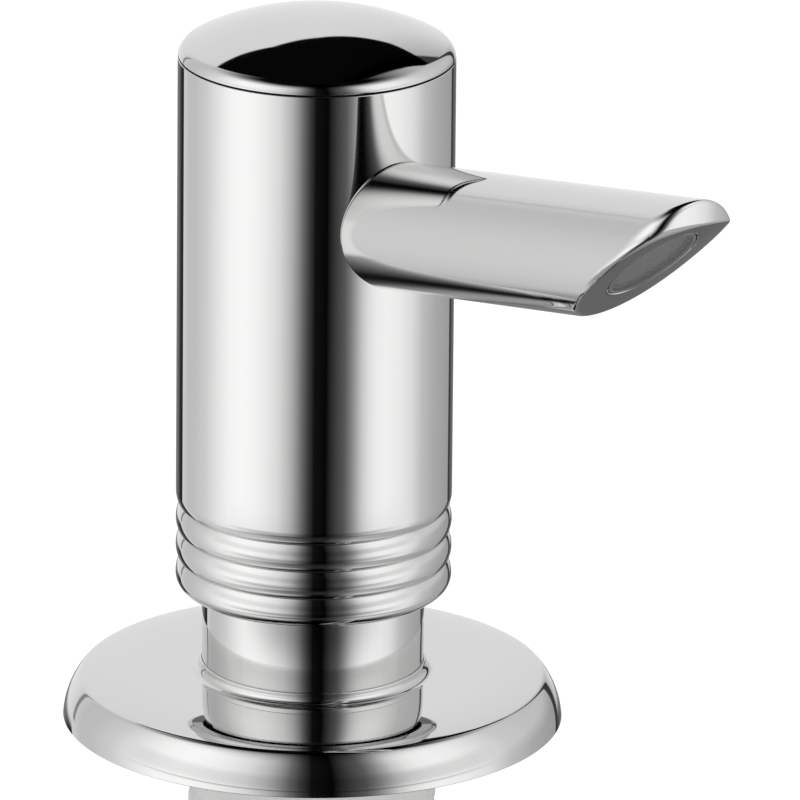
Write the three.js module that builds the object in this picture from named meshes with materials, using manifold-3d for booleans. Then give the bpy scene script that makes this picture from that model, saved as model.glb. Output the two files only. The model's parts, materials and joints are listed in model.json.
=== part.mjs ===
// Deck-mounted soap dispenser: a ribbed chrome head with a raised spout slides over a chrome neck
// on a round deck plate, and a lift-out pump hangs through the deck into a screw-on bottle.
// Millimetres, +Z up. The origin is on the pump's axis, on the deck's top. The spout points along +X.
import * as THREE from "three";
import { mergeVertices } from "three/addons/utils/BufferGeometryUtils.js";
import Module from "manifold-3d";

const wasm = await Module();
wasm.setup();

// Fits shared by all pieces
const seatGap = 0.3; // left between two pieces that seat on each other
const overrun = 2; // how far a cutter runs past what it cuts

// Deck plate
const plateRadius = 27.2;
const plateRimHeight = 4.85; // at the crease that ends the top
const plateShoulderWidth = 1.9; // from the crease out to the rim
const plateShoulderDeg = 50; // slope just outside the crease, below the level
const plateTopHeight = 5.45; // beside the neck
const plateFootRound = 0.3;
const beadRadius = 12.95; // small bead round the neck
const beadHeight = 7.0;
const beadFootWidth = 1.0;

// Neck that stands on the deck plate
const neckRadius = 12.37;
const neckWall = 1.37;
const neckTop = 23;
const neckEdgeRound = 0.5;

// Guide ring that carries the head on the neck
const guideGap = 0.25; // running gap to the head's bore
const guideHeight = 2.6;
const guideThickness = 0.95;
const guideTopBelowNeck = 1.5;

// Threaded shank through the deck
const shankRadius = 13.5;
const shankBoreRadius = 9.5;
const shankLength = 52;
const shankFlangeRadius = 17;
const shankFlangeThickness = 2.5;
const spigotHeight = 12; // reach of the shank's spigot into the neck
const shankChamfer = 1;

// Seal ring under the deck plate
const deckSealRadius = 22.1; // middle of the ring
const deckSealWidth = 3.4;
const deckSealThickness = 1.3;

// Deck and what clamps it from below
const deckThickness = 20;
const clampSealRadius = 22;
const clampSealThickness = 2;
const slipWasherRadius = 21;
const slipWasherThickness = 1.2;
const nutAcrossFlats = 38;
const nutHeight = 9;
const nutCornerTrim = 0.9; // turned off each corner
const nutChamfer = 1.5;
const nutCollarRadius = 17.5; // round collar under the hexagon
const nutCollarHeight = 2.5;

// Bottle
const bottleRadius = 32.5;
const bottleBottom = 150; // below the deck's top
const bottleWall = 1.4;
const bottleNeckWall = 2.8;
const bottleNeckTop = 38; // below the deck's top
const bottleShoulderHeight = 16;
const bottleMouthRadius = 11;
const bottleLedgeThickness = 1.6;
const bottleFootRound = 4;
const bottlePushUp = 2.5; // height of the hollow under the bottle
const bottleBeadHeight = 2.2; // grip bead at the top of the bottle's neck
const bottleBeadWidth = 1.2;
const bottleGasketThickness = 1.2;

// Pump barrel
const barrelBore = 8; // radius
const barrelWall = 1;
const barrelFlangeRadius = 12;
const barrelFlangeThickness = 1.6;
const barrelSealThickness = 0.8;
const barrelFloorTop = 10; // below the deck's top
const barrelFloorThickness = 2;
const chamberRadius = 3.2; // of the inlet valve's chamber
const chamberWall = 2.3;
const chamberDepth = 6.8;
const inletHoleRadius = 1.7;
const inletWebThickness = 2.2;
const nippleLength = 11;
const nippleWall = 1;
const barrelEdge = 1;

// Cap that closes the barrel and guides the stem
const barrelCapRadius = 11.5;
const barrelCapThickness = 1.7;
const barrelCapPlugLength = 6;
const barrelCapNotchWidth = 3;
const barrelCapNotches = 6;

// Inlet valve and dip tube
const inletBallRadius = 2.5;
const cageRadius = 5.2;
const cageThickness = 1.5;
const cagePortRadius = 0.9;
const cagePortPitch = 3.2;
const cagePorts = 5;
const dipTubeRadius = 2.9;
const dipTubeWall = 0.9;
const dipTubeClearance = 1.6; // above the bottle's floor
const dipTubeSlantDeg = 35;

// Piston, stem and outlet valve
const pistonHeight = 10;
const pistonBottom = 5; // above the deck's top, at rest
const pistonLip = 0.9;
const pistonWaist = 1.2;
const pistonFloor = 3;
const pistonSocketWall = 1.6;
const pistonPortRadius = 1.3;
const stemRadius = 3.5;
const stemBore = 1.8; // radius
const stemTopBelowSpout = 10.08; // below the spout's axis
const outletChamberRadius = 2.6;
const outletChamberHeight = 6.2;
const outletBallRadius = 2.1;

const pressTravel = 7;

// Return spring
const springRadius = 6.3; // to the middle of the wire
const springWire = 1.1;
const springTurns = 5.5;
const springStepsPerTurn = 10;
const springWireSides = 5;

// Head
const headRadius = 15;
const headBore = 13.3; // radius
const headBottom = 14.6;
const headAboveSpout = 17.87; // from the spout's axis up to the seam under the cap
const headTopChamfer = 0.25;
const skirtRoundHeight = 3;
const skirtRoundWidth = 1.4;
const grooveCount = 3;
const grooveFirst = 19.12;
const groovePitch = 2.975;
const grooveDepth = 0.45;
const grooveHalfWidth = 1.05;

// Cap on the head
const capDomeRadius = 30.8;
const capEdgeRound = 1.85;
const capRise = 4.95; // from the seam to the dome's crown
const capSeamGap = 0.3;
const capSpigotDepth = 4;
const capSpigotWall = 2;

// Spout
const spoutRiseDeg = 10.05;
const spoutCutDeg = 40.24; // slope of the outlet's plane above the level
const spoutRadius = 6.94;
const spoutAxisHeight = 57.08; // where its axis crosses the pump's axis
const spoutReach = 65.41; // from the pump's axis to the tip
const spoutCutLength = 22.03; // along the cut, from its lower edge to the tip
const spoutNoseRadius = 13.42; // of the rounded tip, seen from above
const spoutSpigotRadius = 6;
const outletFootMargin = 5.45; // along the cut, from its lower edge to the oval
const outletTipMargin = 1.98; // from the oval to the tip
const outletHalfWidth = 4;
const linerDepth = 2.7;
const linerWall = 0.7;
const linerFloor = 0.8;
const linerHoleRadius = 1.5;

// Soap tube in the spout and its seal
const soapTubeRadius = 2.4;
const soapTubeWall = 0.8;
const soapTubeStart = 3;
const tubeSealWidth = 1.7;
const tubeSealStart = 10.8;
const tubeSealLength = 1.7;

// Core inside the head
const corePressGap = 1; // left over the barrel's cap when the head is down
const corePassageRadius = 1.6;
const coreEdge = 1;
const coreFluteRadius = 2.6;
const coreFlutes = 6;
const coreFluteTurnDeg = 30;
const retainerRadius = 6.5;
const retainerThickness = 2.2;

// Roundness of the turned pieces
const fineSides = 36;
const midSides = 28;
const smallSides = 16;

const radians = THREE.MathUtils.degToRad;

// Materials
const chrome = { color: 0xd9dadb, roughness: 0.06, metalness: 1 };
const steel = { color: 0xb4b7ba, roughness: 0.3, metalness: 1 };
const greyPlastic = { color: 0x6c6c6b, roughness: 0.5, metalness: 0 };
const whitePlastic = { color: 0xe4e4df, roughness: 0.45, metalness: 0 };
const blackPlastic = { color: 0x26272a, roughness: 0.5, metalness: 0 };
const clearPlastic = { color: 0xe9ecea, roughness: 0.35, metalness: 0 };
const blackRubber = { color: 0x1b1b1c, roughness: 0.8, metalness: 0 };

// Heights that several pieces share
const headTop = spoutAxisHeight + headAboveSpout;
const stemTop = spoutAxisHeight - stemTopBelowSpout;

const part = new THREE.Group();

// A closed geometry becomes a solid for cutting and joining.
function solid(geometry) {
  const bare = geometry.index ? geometry.toNonIndexed() : geometry.clone();
  bare.deleteAttribute("normal");
  bare.deleteAttribute("uv");
  const merged = mergeVertices(bare);
  const corners = merged.index.array;
  const kept = [];
  for (let i = 0; i < corners.length; i += 3) {
    const [a, b, c] = [corners[i], corners[i + 1], corners[i + 2]];
    if (a !== b && b !== c && c !== a) kept.push(a, b, c);
  }
  const mesh = new wasm.Mesh({
    numProp: 3,
    vertProperties: new Float32Array(merged.attributes.position.array),
    triVerts: new Uint32Array(kept),
  });
  return new wasm.Manifold(mesh);
}

function piece(name, body, finish) {
  const mesh = body.getMesh();
  const geometry = new THREE.BufferGeometry();
  geometry.setAttribute("position", new THREE.BufferAttribute(new Float32Array(mesh.vertProperties), 3));
  geometry.setIndex(new THREE.BufferAttribute(new Uint32Array(mesh.triVerts), 1));
  geometry.computeVertexNormals();
  const node = new THREE.Mesh(geometry, new THREE.MeshStandardMaterial(finish));
  node.name = name;
  part.add(node);
}

// A ring or a round bar turned about Z. The outline runs up its outer side and closes on itself,
// or starts and ends on the axis. Each point is [radius, height].
function turned(outline, sides) {
  const points = outline.map(([radius, height]) => new THREE.Vector2(radius, height));
  if (outline[0][0] > 0) points.push(points[0].clone());
  const geometry = new THREE.LatheGeometry(points, sides);
  geometry.rotateX(Math.PI / 2);
  return solid(geometry);
}

function ring(outerRadius, innerRadius, bottom, top, sides) {
  const outline = [[outerRadius, bottom], [outerRadius, top], [innerRadius, top], [innerRadius, bottom]];
  return turned(outline, sides);
}

function bar(radius, bottom, top, sides) {
  return turned([[0, bottom], [radius, bottom], [radius, top], [0, top]], sides);
}

// A quarter of an ellipse from its side point to its crown point.
function quarter(centreRadius, centreHeight, width, height, steps) {
  const points = [];
  for (let i = 0; i <= steps; i += 1) {
    const turn = (Math.PI / 2) * (i / steps);
    points.push([centreRadius + width * Math.cos(turn), centreHeight + height * Math.sin(turn)]);
  }
  return points;
}

function ball(radius, height) {
  const geometry = new THREE.SphereGeometry(radius, 14, 10);
  geometry.rotateX(Math.PI / 2);
  geometry.translate(0, 0, height);
  return solid(geometry);
}

// Turns a solid that was made along +Z so that it lies along the spout's axis.
function alongSpout(body) {
  return body.rotate([0, 90 - spoutRiseDeg, 0]).translate([0, 0, spoutAxisHeight]);
}

// Copies of a cutter set round the axis
function around(cutter, count, startDeg) {
  const copies = [];
  for (let i = 0; i < count; i += 1) copies.push(cutter.rotate([0, 0, startDeg + (360 * i) / count]));
  return wasm.Manifold.union(copies);
}

// Deck plate: gently rising top that ends in a crease, shoulder that rolls down to the rim, bead round
// the neck, seats underneath
const plateBore = neckRadius + seatGap;
const shankSeatRadius = shankFlangeRadius + seatGap;
const shankSeatHeight = shankFlangeThickness + seatGap;
const sealGrooveOut = deckSealRadius + deckSealWidth / 2 + seatGap;
const sealGrooveIn = deckSealRadius - deckSealWidth / 2 - seatGap;
const sealGrooveHeight = deckSealThickness + seatGap;

function deckPlate() {
  const drop = plateShoulderWidth * Math.tan(radians(plateShoulderDeg));
  const shoulder = new THREE.QuadraticBezierCurve(
    new THREE.Vector2(plateRadius, plateFootRound),
    new THREE.Vector2(plateRadius, plateRimHeight - drop),
    new THREE.Vector2(plateRadius - plateShoulderWidth, plateRimHeight),
  );
  const beadMiddle = (beadRadius + plateBore) / 2;
  const outline = [
    [plateRadius - plateFootRound, 0],
    ...shoulder.getPoints(8).map((point) => point.toArray()),
    [beadRadius + beadFootWidth, plateTopHeight],
    [beadRadius + beadFootWidth / 3, plateTopHeight + (beadHeight - plateTopHeight) / 5],
    [beadRadius, (plateTopHeight + beadHeight) / 2],
    [beadMiddle, beadHeight],
    [plateBore, beadHeight],
    [plateBore, shankSeatHeight],
    [shankSeatRadius, shankSeatHeight],
    [shankSeatRadius, 0],
    [sealGrooveIn, 0],
    [sealGrooveIn, sealGrooveHeight],
    [sealGrooveOut, sealGrooveHeight],
    [sealGrooveOut, 0],
  ];
  return turned(outline, fineSides);
}

piece("deck_plate", deckPlate(), chrome);
const deckSeal = ring(
  deckSealRadius + deckSealWidth / 2, deckSealRadius - deckSealWidth / 2, 0, deckSealThickness, midSides,
);
piece("deck_seal", deckSeal, blackRubber);

// Neck: a plain chrome tube on the shank's flange, with a groove for the guide ring
const neckBore = neckRadius - neckWall;
const neckBottom = shankSeatHeight;
const guideOut = headBore - guideGap;
const guideIn = guideOut - guideThickness;
const guideTop = neckTop - guideTopBelowNeck;
const guideBottom = guideTop - guideHeight;

function neck() {
  const grooveFloor = guideIn - seatGap;
  const outline = [
    [neckRadius, neckBottom],
    [neckRadius, guideBottom - seatGap],
    [grooveFloor, guideBottom - seatGap],
    [grooveFloor, guideTop + seatGap],
    [neckRadius, guideTop + seatGap],
    [neckRadius, neckTop - neckEdgeRound],
    [neckRadius - neckEdgeRound, neckTop],
    [neckBore, neckTop],
    [neckBore, neckBottom],
  ];
  return turned(outline, fineSides);
}

piece("neck_sleeve", neck(), chrome);
piece("guide_ring", ring(guideOut, guideIn, guideBottom, guideTop, fineSides), whitePlastic);

// Shank: flange on the deck, spigot up into the neck, threaded tube down through the deck
function shank() {
  const outline = [
    [shankRadius - shankChamfer, -shankLength],
    [shankRadius, -shankLength + shankChamfer],
    [shankRadius, 0],
    [shankFlangeRadius, 0],
    [shankFlangeRadius, shankFlangeThickness],
    [neckBore - seatGap, shankFlangeThickness],
    [neckBore - seatGap, spigotHeight],
    [shankBoreRadius, spigotHeight],
    [shankBoreRadius, -shankLength],
  ];
  return turned(outline, midSides);
}

piece("threaded_shank", shank(), whitePlastic);

// Seal, washer and nut that clamp the deck from below
const clampBore = shankRadius + seatGap;
const washerTop = -deckThickness - clampSealThickness - seatGap;
const washerBottom = washerTop - slipWasherThickness;
const nutTop = washerBottom - seatGap;
const nutBottom = nutTop - nutHeight;

piece("clamp_seal", ring(clampSealRadius, clampBore, -deckThickness - clampSealThickness,
  -deckThickness, midSides), blackRubber);
piece("slip_washer", ring(slipWasherRadius, clampBore, washerBottom, washerTop, midSides), steel);

function fixingNut() {
  const cornerRadius = nutAcrossFlats / 2 / Math.cos(Math.PI / 6);
  const trimmed = cornerRadius - nutCornerTrim;
  const collarTop = nutBottom + nutCollarHeight;
  const hexagon = bar(cornerRadius, collarTop, nutTop, 6);
  const turnedBlank = turned([
    [0, nutBottom], [nutCollarRadius, nutBottom], [nutCollarRadius, collarTop],
    [trimmed - nutChamfer, collarTop], [trimmed, collarTop + nutChamfer],
    [trimmed, nutTop - nutChamfer], [trimmed - nutChamfer, nutTop], [0, nutTop],
  ], midSides);
  const collar = bar(nutCollarRadius, nutBottom, collarTop + overrun, midSides);
  const blank = hexagon.add(collar).intersect(turnedBlank);
  return blank.subtract(bar(clampBore, nutBottom - overrun, nutTop + overrun, midSides));
}

piece("fixing_nut", fixingNut(), blackPlastic);

// Bottle: threaded neck round the shank, ledge for the gasket, round shoulder, hollow foot
const bottleNeckBore = shankRadius + seatGap;
const bottleNeckRadius = bottleNeckBore + bottleNeckWall;
const gasketTop = -shankLength - seatGap;
const gasketBottom = gasketTop - bottleGasketThickness;
const ledgeTop = gasketBottom - seatGap;
const ledgeBottom = ledgeTop - bottleLedgeThickness;
const shoulderBottom = ledgeTop - bottleShoulderHeight;
const bottleFloor = -bottleBottom + bottleWall;

function bottle() {
  const innerRadius = bottleRadius - bottleWall;
  const shoulder = quarter(bottleNeckRadius, shoulderBottom, bottleRadius - bottleNeckRadius,
    bottleShoulderHeight, 6);
  const innerShoulder = quarter(bottleMouthRadius, shoulderBottom, innerRadius - bottleMouthRadius,
    ledgeBottom - shoulderBottom, 6).reverse();
  const foot = quarter(bottleRadius - bottleFootRound, -bottleBottom + bottleFootRound,
    bottleFootRound, -bottleFootRound, 3).reverse();
  const innerFoot = quarter(innerRadius - bottleFootRound, bottleFloor + bottleFootRound,
    bottleFootRound, -bottleFootRound, 3);
  const outline = [
    [0, -bottleBottom + bottlePushUp],
    [bottleRadius - 2 * bottleFootRound, -bottleBottom + bottlePushUp],
    ...foot,
    ...shoulder,
    [bottleNeckRadius, -bottleNeckTop - bottleBeadHeight],
    [bottleNeckRadius + bottleBeadWidth, -bottleNeckTop - bottleBeadHeight + bottleBeadWidth / 2],
    [bottleNeckRadius + bottleBeadWidth, -bottleNeckTop],
    [bottleNeckBore, -bottleNeckTop],
    [bottleNeckBore, ledgeTop],
    [bottleMouthRadius, ledgeTop],
    ...innerShoulder,
    ...innerFoot,
    [bottleRadius - 2 * bottleFootRound - bottleWall, bottleFloor + bottlePushUp],
    [0, bottleFloor + bottlePushUp],
  ];
  return turned(outline, midSides);
}

piece("bottle", bottle(), clearPlastic);
piece("bottle_gasket", ring(shankRadius, bottleMouthRadius + seatGap, gasketBottom, gasketTop, midSides),
  blackRubber);

// Pump barrel: hangs by its flange on the neck, with the inlet valve's chamber and a nipple below
const sealBottom = neckTop + seatGap;
const sealTop = sealBottom + barrelSealThickness;
const flangeBottom = sealTop + seatGap;
const flangeTop = flangeBottom + barrelFlangeThickness;
const barrelRadius = barrelBore + barrelWall;
const floorBottom = -barrelFloorTop - barrelFloorThickness;
const valveSeat = -barrelFloorTop - chamberDepth;
const webBottom = valveSeat - inletWebThickness;
const nippleBore = dipTubeRadius + seatGap;
const nippleRadius = nippleBore + nippleWall;
const nippleBottom = webBottom - nippleLength;

function pumpBarrel() {
  const chamberOut = chamberRadius + chamberWall;
  const outline = [
    [nippleRadius, nippleBottom],
    [nippleRadius, webBottom],
    [chamberOut, webBottom + (chamberOut - nippleRadius)],
    [chamberOut, floorBottom],
    [barrelRadius - barrelEdge, floorBottom],
    [barrelRadius, floorBottom + barrelEdge],
    [barrelRadius, flangeBottom],
    [barrelFlangeRadius, flangeBottom],
    [barrelFlangeRadius, flangeTop],
    [barrelBore, flangeTop],
    [barrelBore, -barrelFloorTop],
    [chamberRadius, -barrelFloorTop],
    [chamberRadius, valveSeat],
    [inletHoleRadius, valveSeat],
    [inletHoleRadius, webBottom],
    [nippleBore, webBottom],
    [nippleBore, nippleBottom],
  ];
  return turned(outline, midSides);
}

piece("barrel_seal", ring(barrelFlangeRadius, barrelRadius + seatGap, sealBottom, sealTop, midSides),
  blackRubber);
piece("pump_barrel", pumpBarrel(), whitePlastic);

// Barrel cap: a notched disc with a plug that guides the stem
const capDiscBottom = flangeTop + seatGap;
const capDiscTop = capDiscBottom + barrelCapThickness;
const stemHole = stemRadius + seatGap;

function barrelCap() {
  const plugRadius = barrelBore - seatGap;
  const plugBottom = capDiscBottom - barrelCapPlugLength;
  const outline = [
    [plugRadius, plugBottom], [plugRadius, capDiscBottom], [barrelCapRadius, capDiscBottom],
    [barrelCapRadius, capDiscTop], [stemHole, capDiscTop], [stemHole, plugBottom],
  ];
  const notchHeight = barrelCapThickness + 2 * overrun;
  const notch = new THREE.BoxGeometry(barrelCapNotchWidth, barrelCapNotchWidth, notchHeight);
  notch.translate(barrelCapRadius, 0, (capDiscBottom + capDiscTop) / 2);
  const notchBottom = capDiscBottom - overrun;
  const notchTop = capDiscTop + overrun;
  const discOnly = ring(barrelCapRadius + overrun, plugRadius, notchBottom, notchTop, smallSides);
  const notches = around(solid(notch), barrelCapNotches, 0).intersect(discOnly);
  return turned(outline, midSides).subtract(notches);
}

piece("barrel_cap", barrelCap(), whitePlastic);

// Inlet valve: ball on the hole in the web, ported cage above it
const inletBallHeight = valveSeat + seatGap + Math.sqrt(inletBallRadius ** 2 - inletHoleRadius ** 2);
piece("inlet_ball", ball(inletBallRadius, inletBallHeight), steel);
const cageBottom = -barrelFloorTop + seatGap;
const cageTop = cageBottom + cageThickness;

function ballCage() {
  const drill = bar(cagePortRadius, cageBottom - overrun, cageTop + overrun, 8);
  const ports = around(drill.translate([cagePortPitch, 0, 0]), cagePorts, 0);
  return bar(cageRadius, cageBottom, cageTop, smallSides).subtract(ports);
}

piece("ball_cage", ballCage(), whitePlastic);

// Dip tube, cut on a slant so that the bottle's floor can't close it
function dipTube() {
  const top = webBottom - seatGap;
  const bottom = bottleFloor + bottlePushUp + dipTubeClearance;
  const tube = ring(dipTubeRadius, dipTubeRadius - dipTubeWall, bottom, top, smallSides);
  const size = 4 * dipTubeRadius;
  const cutter = new THREE.BoxGeometry(size, size, size);
  cutter.translate(0, 0, -size / 2);
  cutter.rotateY(radians(dipTubeSlantDeg));
  cutter.translate(0, 0, bottom + dipTubeRadius * Math.tan(radians(dipTubeSlantDeg)));
  return tube.subtract(solid(cutter));
}

piece("dip_tube", dipTube(), clearPlastic);

// Piston: a cup with a flared lip at each end, a socket for the stem and a port below it
const stemBottom = pistonBottom + pistonFloor + seatGap;

function piston() {
  const lipRadius = barrelBore - seatGap;
  const waist = lipRadius - pistonWaist;
  const socket = stemRadius + seatGap;
  const socketTop = pistonBottom + pistonHeight - pistonLip;
  const top = pistonBottom + pistonHeight;
  const outline = [
    [waist - pistonWaist, pistonBottom],
    [lipRadius, pistonBottom + pistonLip],
    [waist, pistonBottom + 2 * pistonLip],
    [waist, top - 3 * pistonLip],
    [lipRadius, top],
    [lipRadius - pistonLip, top],
    [socket + pistonSocketWall, top - 3 * pistonLip],
    [socket + pistonSocketWall, socketTop],
    [socket, socketTop],
    [socket, pistonBottom + pistonFloor],
    [pistonPortRadius, pistonBottom + pistonFloor],
    [pistonPortRadius, pistonBottom],
  ];
  return turned(outline, midSides);
}

piece("piston", piston(), blackRubber);

// Stem: a tube from the piston to the head's core, widened below for the outlet valve's ball
function pumpStem() {
  const outline = [
    [stemRadius, stemBottom], [stemRadius, stemTop], [stemBore, stemTop],
    [stemBore, stemBottom + outletChamberHeight],
    [outletChamberRadius, stemBottom + outletChamberHeight - (outletChamberRadius - stemBore)],
    [outletChamberRadius, stemBottom],
  ];
  return turned(outline, smallSides);
}

piece("pump_stem", pumpStem(), whitePlastic);
const outletBallHeight = pistonBottom + pistonFloor + seatGap
  + Math.sqrt(outletBallRadius ** 2 - pistonPortRadius ** 2);
piece("outlet_ball", ball(outletBallRadius, outletBallHeight), steel);

// Return spring: one round wire in an open helix between the barrel's floor and the piston
function returnSpring() {
  const wireRadius = springWire / 2;
  const low = -barrelFloorTop + seatGap + wireRadius;
  const high = pistonBottom - seatGap - wireRadius;
  const steps = Math.round(springTurns * springStepsPerTurn);
  const centres = [];
  for (let i = 0; i <= steps; i += 1) {
    const turn = 2 * Math.PI * springTurns * (i / steps);
    const height = low + (high - low) * (i / steps);
    centres.push(new THREE.Vector3(springRadius * Math.cos(turn), springRadius * Math.sin(turn), height));
  }
  let leastGap = Infinity;
  for (let i = 0; i < steps; i += 1) {
    const next = i + springStepsPerTurn;
    if (next <= steps) leastGap = Math.min(leastGap, centres[i].distanceTo(centres[next]) - springWire);
  }
  console.log(`return spring: least gap between turns ${leastGap.toFixed(2)} mm`);
  const positions = [];
  const corners = [];
  centres.forEach((centre, i) => {
    const turn = 2 * Math.PI * springTurns * (i / steps);
    for (let k = 0; k < springWireSides; k += 1) {
      const spin = (2 * Math.PI * k) / springWireSides;
      const reach = springRadius + wireRadius * Math.cos(spin);
      positions.push(reach * Math.cos(turn), reach * Math.sin(turn), centre.z + wireRadius * Math.sin(spin));
      if (i < steps) {
        const here = i * springWireSides;
        const beside = here + ((k + 1) % springWireSides);
        corners.push(here + k, beside + springWireSides, beside);
        corners.push(here + k, here + k + springWireSides, beside + springWireSides);
      }
    }
  });
  const last = steps * springWireSides;
  for (let k = 1; k < springWireSides - 1; k += 1) {
    corners.push(0, k, k + 1);
    corners.push(last, last + k + 1, last + k);
  }
  const mesh = new wasm.Mesh({
    numProp: 3, vertProperties: new Float32Array(positions), triVerts: new Uint32Array(corners),
  });
  return new wasm.Manifold(mesh);
}

piece("return_spring", returnSpring(), steel);

// Head: a chrome tube with three grooves over a rounded skirt, drilled for the spout's spigot
function headBody() {
  const outline = [[headBore, headBottom]];
  const skirt = quarter(headRadius - skirtRoundWidth, headBottom + skirtRoundHeight, skirtRoundWidth,
    -skirtRoundHeight, 6).reverse();
  outline.push(...skirt);
  for (let i = 0; i < grooveCount; i += 1) {
    const middle = grooveFirst + i * groovePitch;
    for (const share of [-1, -0.5, 0, 0.5, 1]) {
      const depth = (grooveDepth * (1 + Math.cos(Math.PI * share))) / 2;
      outline.push([headRadius - depth, middle + share * grooveHalfWidth]);
    }
  }
  outline.push([headRadius, headTop - headTopChamfer]);
  outline.push([headRadius - headTopChamfer, headTop]);
  outline.push([headBore, headTop]);
  const spigotHole = alongSpout(bar(spoutSpigotRadius + seatGap, 0, headRadius + 2 * overrun, midSides));
  return turned(outline, fineSides).subtract(spigotHole);
}

piece("head_body", headBody(), chrome);

// Cap: a shallow dome with a rolled edge over a spigot that plugs the head
function topCap() {
  const seam = headTop + capSeamGap;
  const capApex = headTop + capRise;
  const domeCentre = capApex - capDomeRadius;
  const edgeCentre = headRadius - capEdgeRound;
  const edgeHeight = domeCentre + Math.sqrt((capDomeRadius - capEdgeRound) ** 2 - edgeCentre ** 2);
  const edgeTurn = Math.atan2(edgeHeight - domeCentre, edgeCentre);
  const spigotRadius = headBore - seatGap;
  const outline = [
    [0, seam], [spigotRadius - capSpigotWall, seam],
    [spigotRadius - capSpigotWall, headTop - capSpigotDepth], [spigotRadius, headTop - capSpigotDepth],
    [spigotRadius, seam], [headRadius - headTopChamfer, seam], [headRadius, seam + headTopChamfer],
  ];
  const edgeSteps = 4;
  for (let i = 0; i <= edgeSteps; i += 1) {
    const turn = edgeTurn * (i / edgeSteps);
    outline.push([edgeCentre + capEdgeRound * Math.cos(turn), edgeHeight + capEdgeRound * Math.sin(turn)]);
  }
  const domeSteps = 6;
  for (let i = 1; i < domeSteps; i += 1) {
    const turn = edgeTurn + (Math.PI / 2 - edgeTurn) * (i / domeSteps);
    outline.push([capDomeRadius * Math.cos(turn), domeCentre + capDomeRadius * Math.sin(turn)]);
  }
  outline.push([0, capApex]);
  return turned(outline, fineSides);
}

piece("top_cap", topCap(), chrome);

// Core: fills the head, takes the stem from below and the soap tube from the side
const socketTop = stemTop + seatGap;
const coreBottom = capDiscTop + pressTravel + corePressGap;
const coreTop = headTop - capSpigotDepth - seatGap;

function headCore() {
  const coreRadius = headBore - seatGap;
  const blank = turned([
    [0, coreBottom], [coreRadius - coreEdge, coreBottom], [coreRadius, coreBottom + coreEdge],
    [coreRadius, coreTop - coreEdge], [coreRadius - coreEdge, coreTop], [0, coreTop],
  ], midSides);
  const recessTop = coreBottom + retainerThickness + seatGap;
  const recess = bar(retainerRadius + seatGap, coreBottom - overrun, recessTop, smallSides);
  const socket = bar(stemHole, coreBottom - overrun, socketTop, smallSides);
  const riser = bar(corePassageRadius, socketTop - overrun, spoutAxisHeight, smallSides);
  const runner = alongSpout(bar(corePassageRadius, -corePassageRadius, soapTubeStart, smallSides));
  const tubeBore = alongSpout(bar(soapTubeRadius + seatGap, soapTubeStart - seatGap, headRadius + overrun,
    smallSides));
  const sealBore = alongSpout(bar(soapTubeRadius + tubeSealWidth + 2 * seatGap, tubeSealStart - seatGap,
    headRadius + overrun, smallSides));
  const flute = bar(coreFluteRadius, coreBottom - overrun, coreTop + overrun, 12);
  const flutes = around(flute.translate([coreRadius, 0, 0]), coreFlutes, coreFluteTurnDeg);
  const cuts = wasm.Manifold.union([recess, socket, riser, runner, tubeBore, sealBore, flutes]);
  return blank.subtract(cuts);
}

piece("head_core", headCore(), greyPlastic);
const retainerTop = coreBottom + retainerThickness;
piece("stem_retainer", ring(retainerRadius, stemHole, coreBottom, retainerTop, smallSides), steel);

// Spout: a round bar that rises from the head, with a slanting cut and a rounded tip. A spigot at its
// root fits the hole in the head. The outlet is an oval pocket square to the cut.
const cutTurn = radians(spoutCutDeg - spoutRiseDeg);
const rise = radians(spoutRiseDeg);
const slope = radians(spoutCutDeg);
const cutStartReach = spoutReach - spoutCutLength * Math.cos(slope);
const cutStart = [
  cutStartReach,
  spoutAxisHeight + cutStartReach * Math.tan(rise) - spoutRadius / Math.cos(rise),
];
const spoutUnderLength = cutStartReach / Math.cos(rise) - spoutRadius * Math.tan(rise); // along the axis
const outletHalfLength = (spoutCutLength - outletFootMargin - outletTipMargin) / 2;
const outletCentre = outletFootMargin + outletHalfLength; // up the cut from its lower edge

// Moves a solid made over the XY plane so that its plane is the cut's and its +X runs up the cut.
function onCut(body) {
  return body.rotate([0, -spoutCutDeg, 0]).translate([cutStart[0], 0, cutStart[1]]);
}

// An oval bar square to the cut, between two depths above it.
function oval(halfLength, halfWidth, from, to) {
  const outline = new THREE.Shape();
  outline.absellipse(outletCentre, 0, halfLength, halfWidth, 0, 2 * Math.PI, false, 0);
  const sweep = { depth: to - from, bevelEnabled: false, curveSegments: 14 };
  const geometry = new THREE.ExtrudeGeometry(outline, sweep);
  geometry.translate(0, 0, from);
  return onCut(solid(geometry));
}

function noseLimit(reach) {
  const centre = reach - spoutNoseRadius;
  const outline = new THREE.Shape();
  outline.moveTo(0, -spoutNoseRadius);
  outline.lineTo(centre, -spoutNoseRadius);
  outline.absarc(centre, 0, spoutNoseRadius, -Math.PI / 2, Math.PI / 2, false);
  outline.lineTo(0, spoutNoseRadius);
  const sweep = { depth: 2 * spoutAxisHeight, bevelEnabled: false, curveSegments: 16 };
  return solid(new THREE.ExtrudeGeometry(outline, sweep));
}

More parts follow.
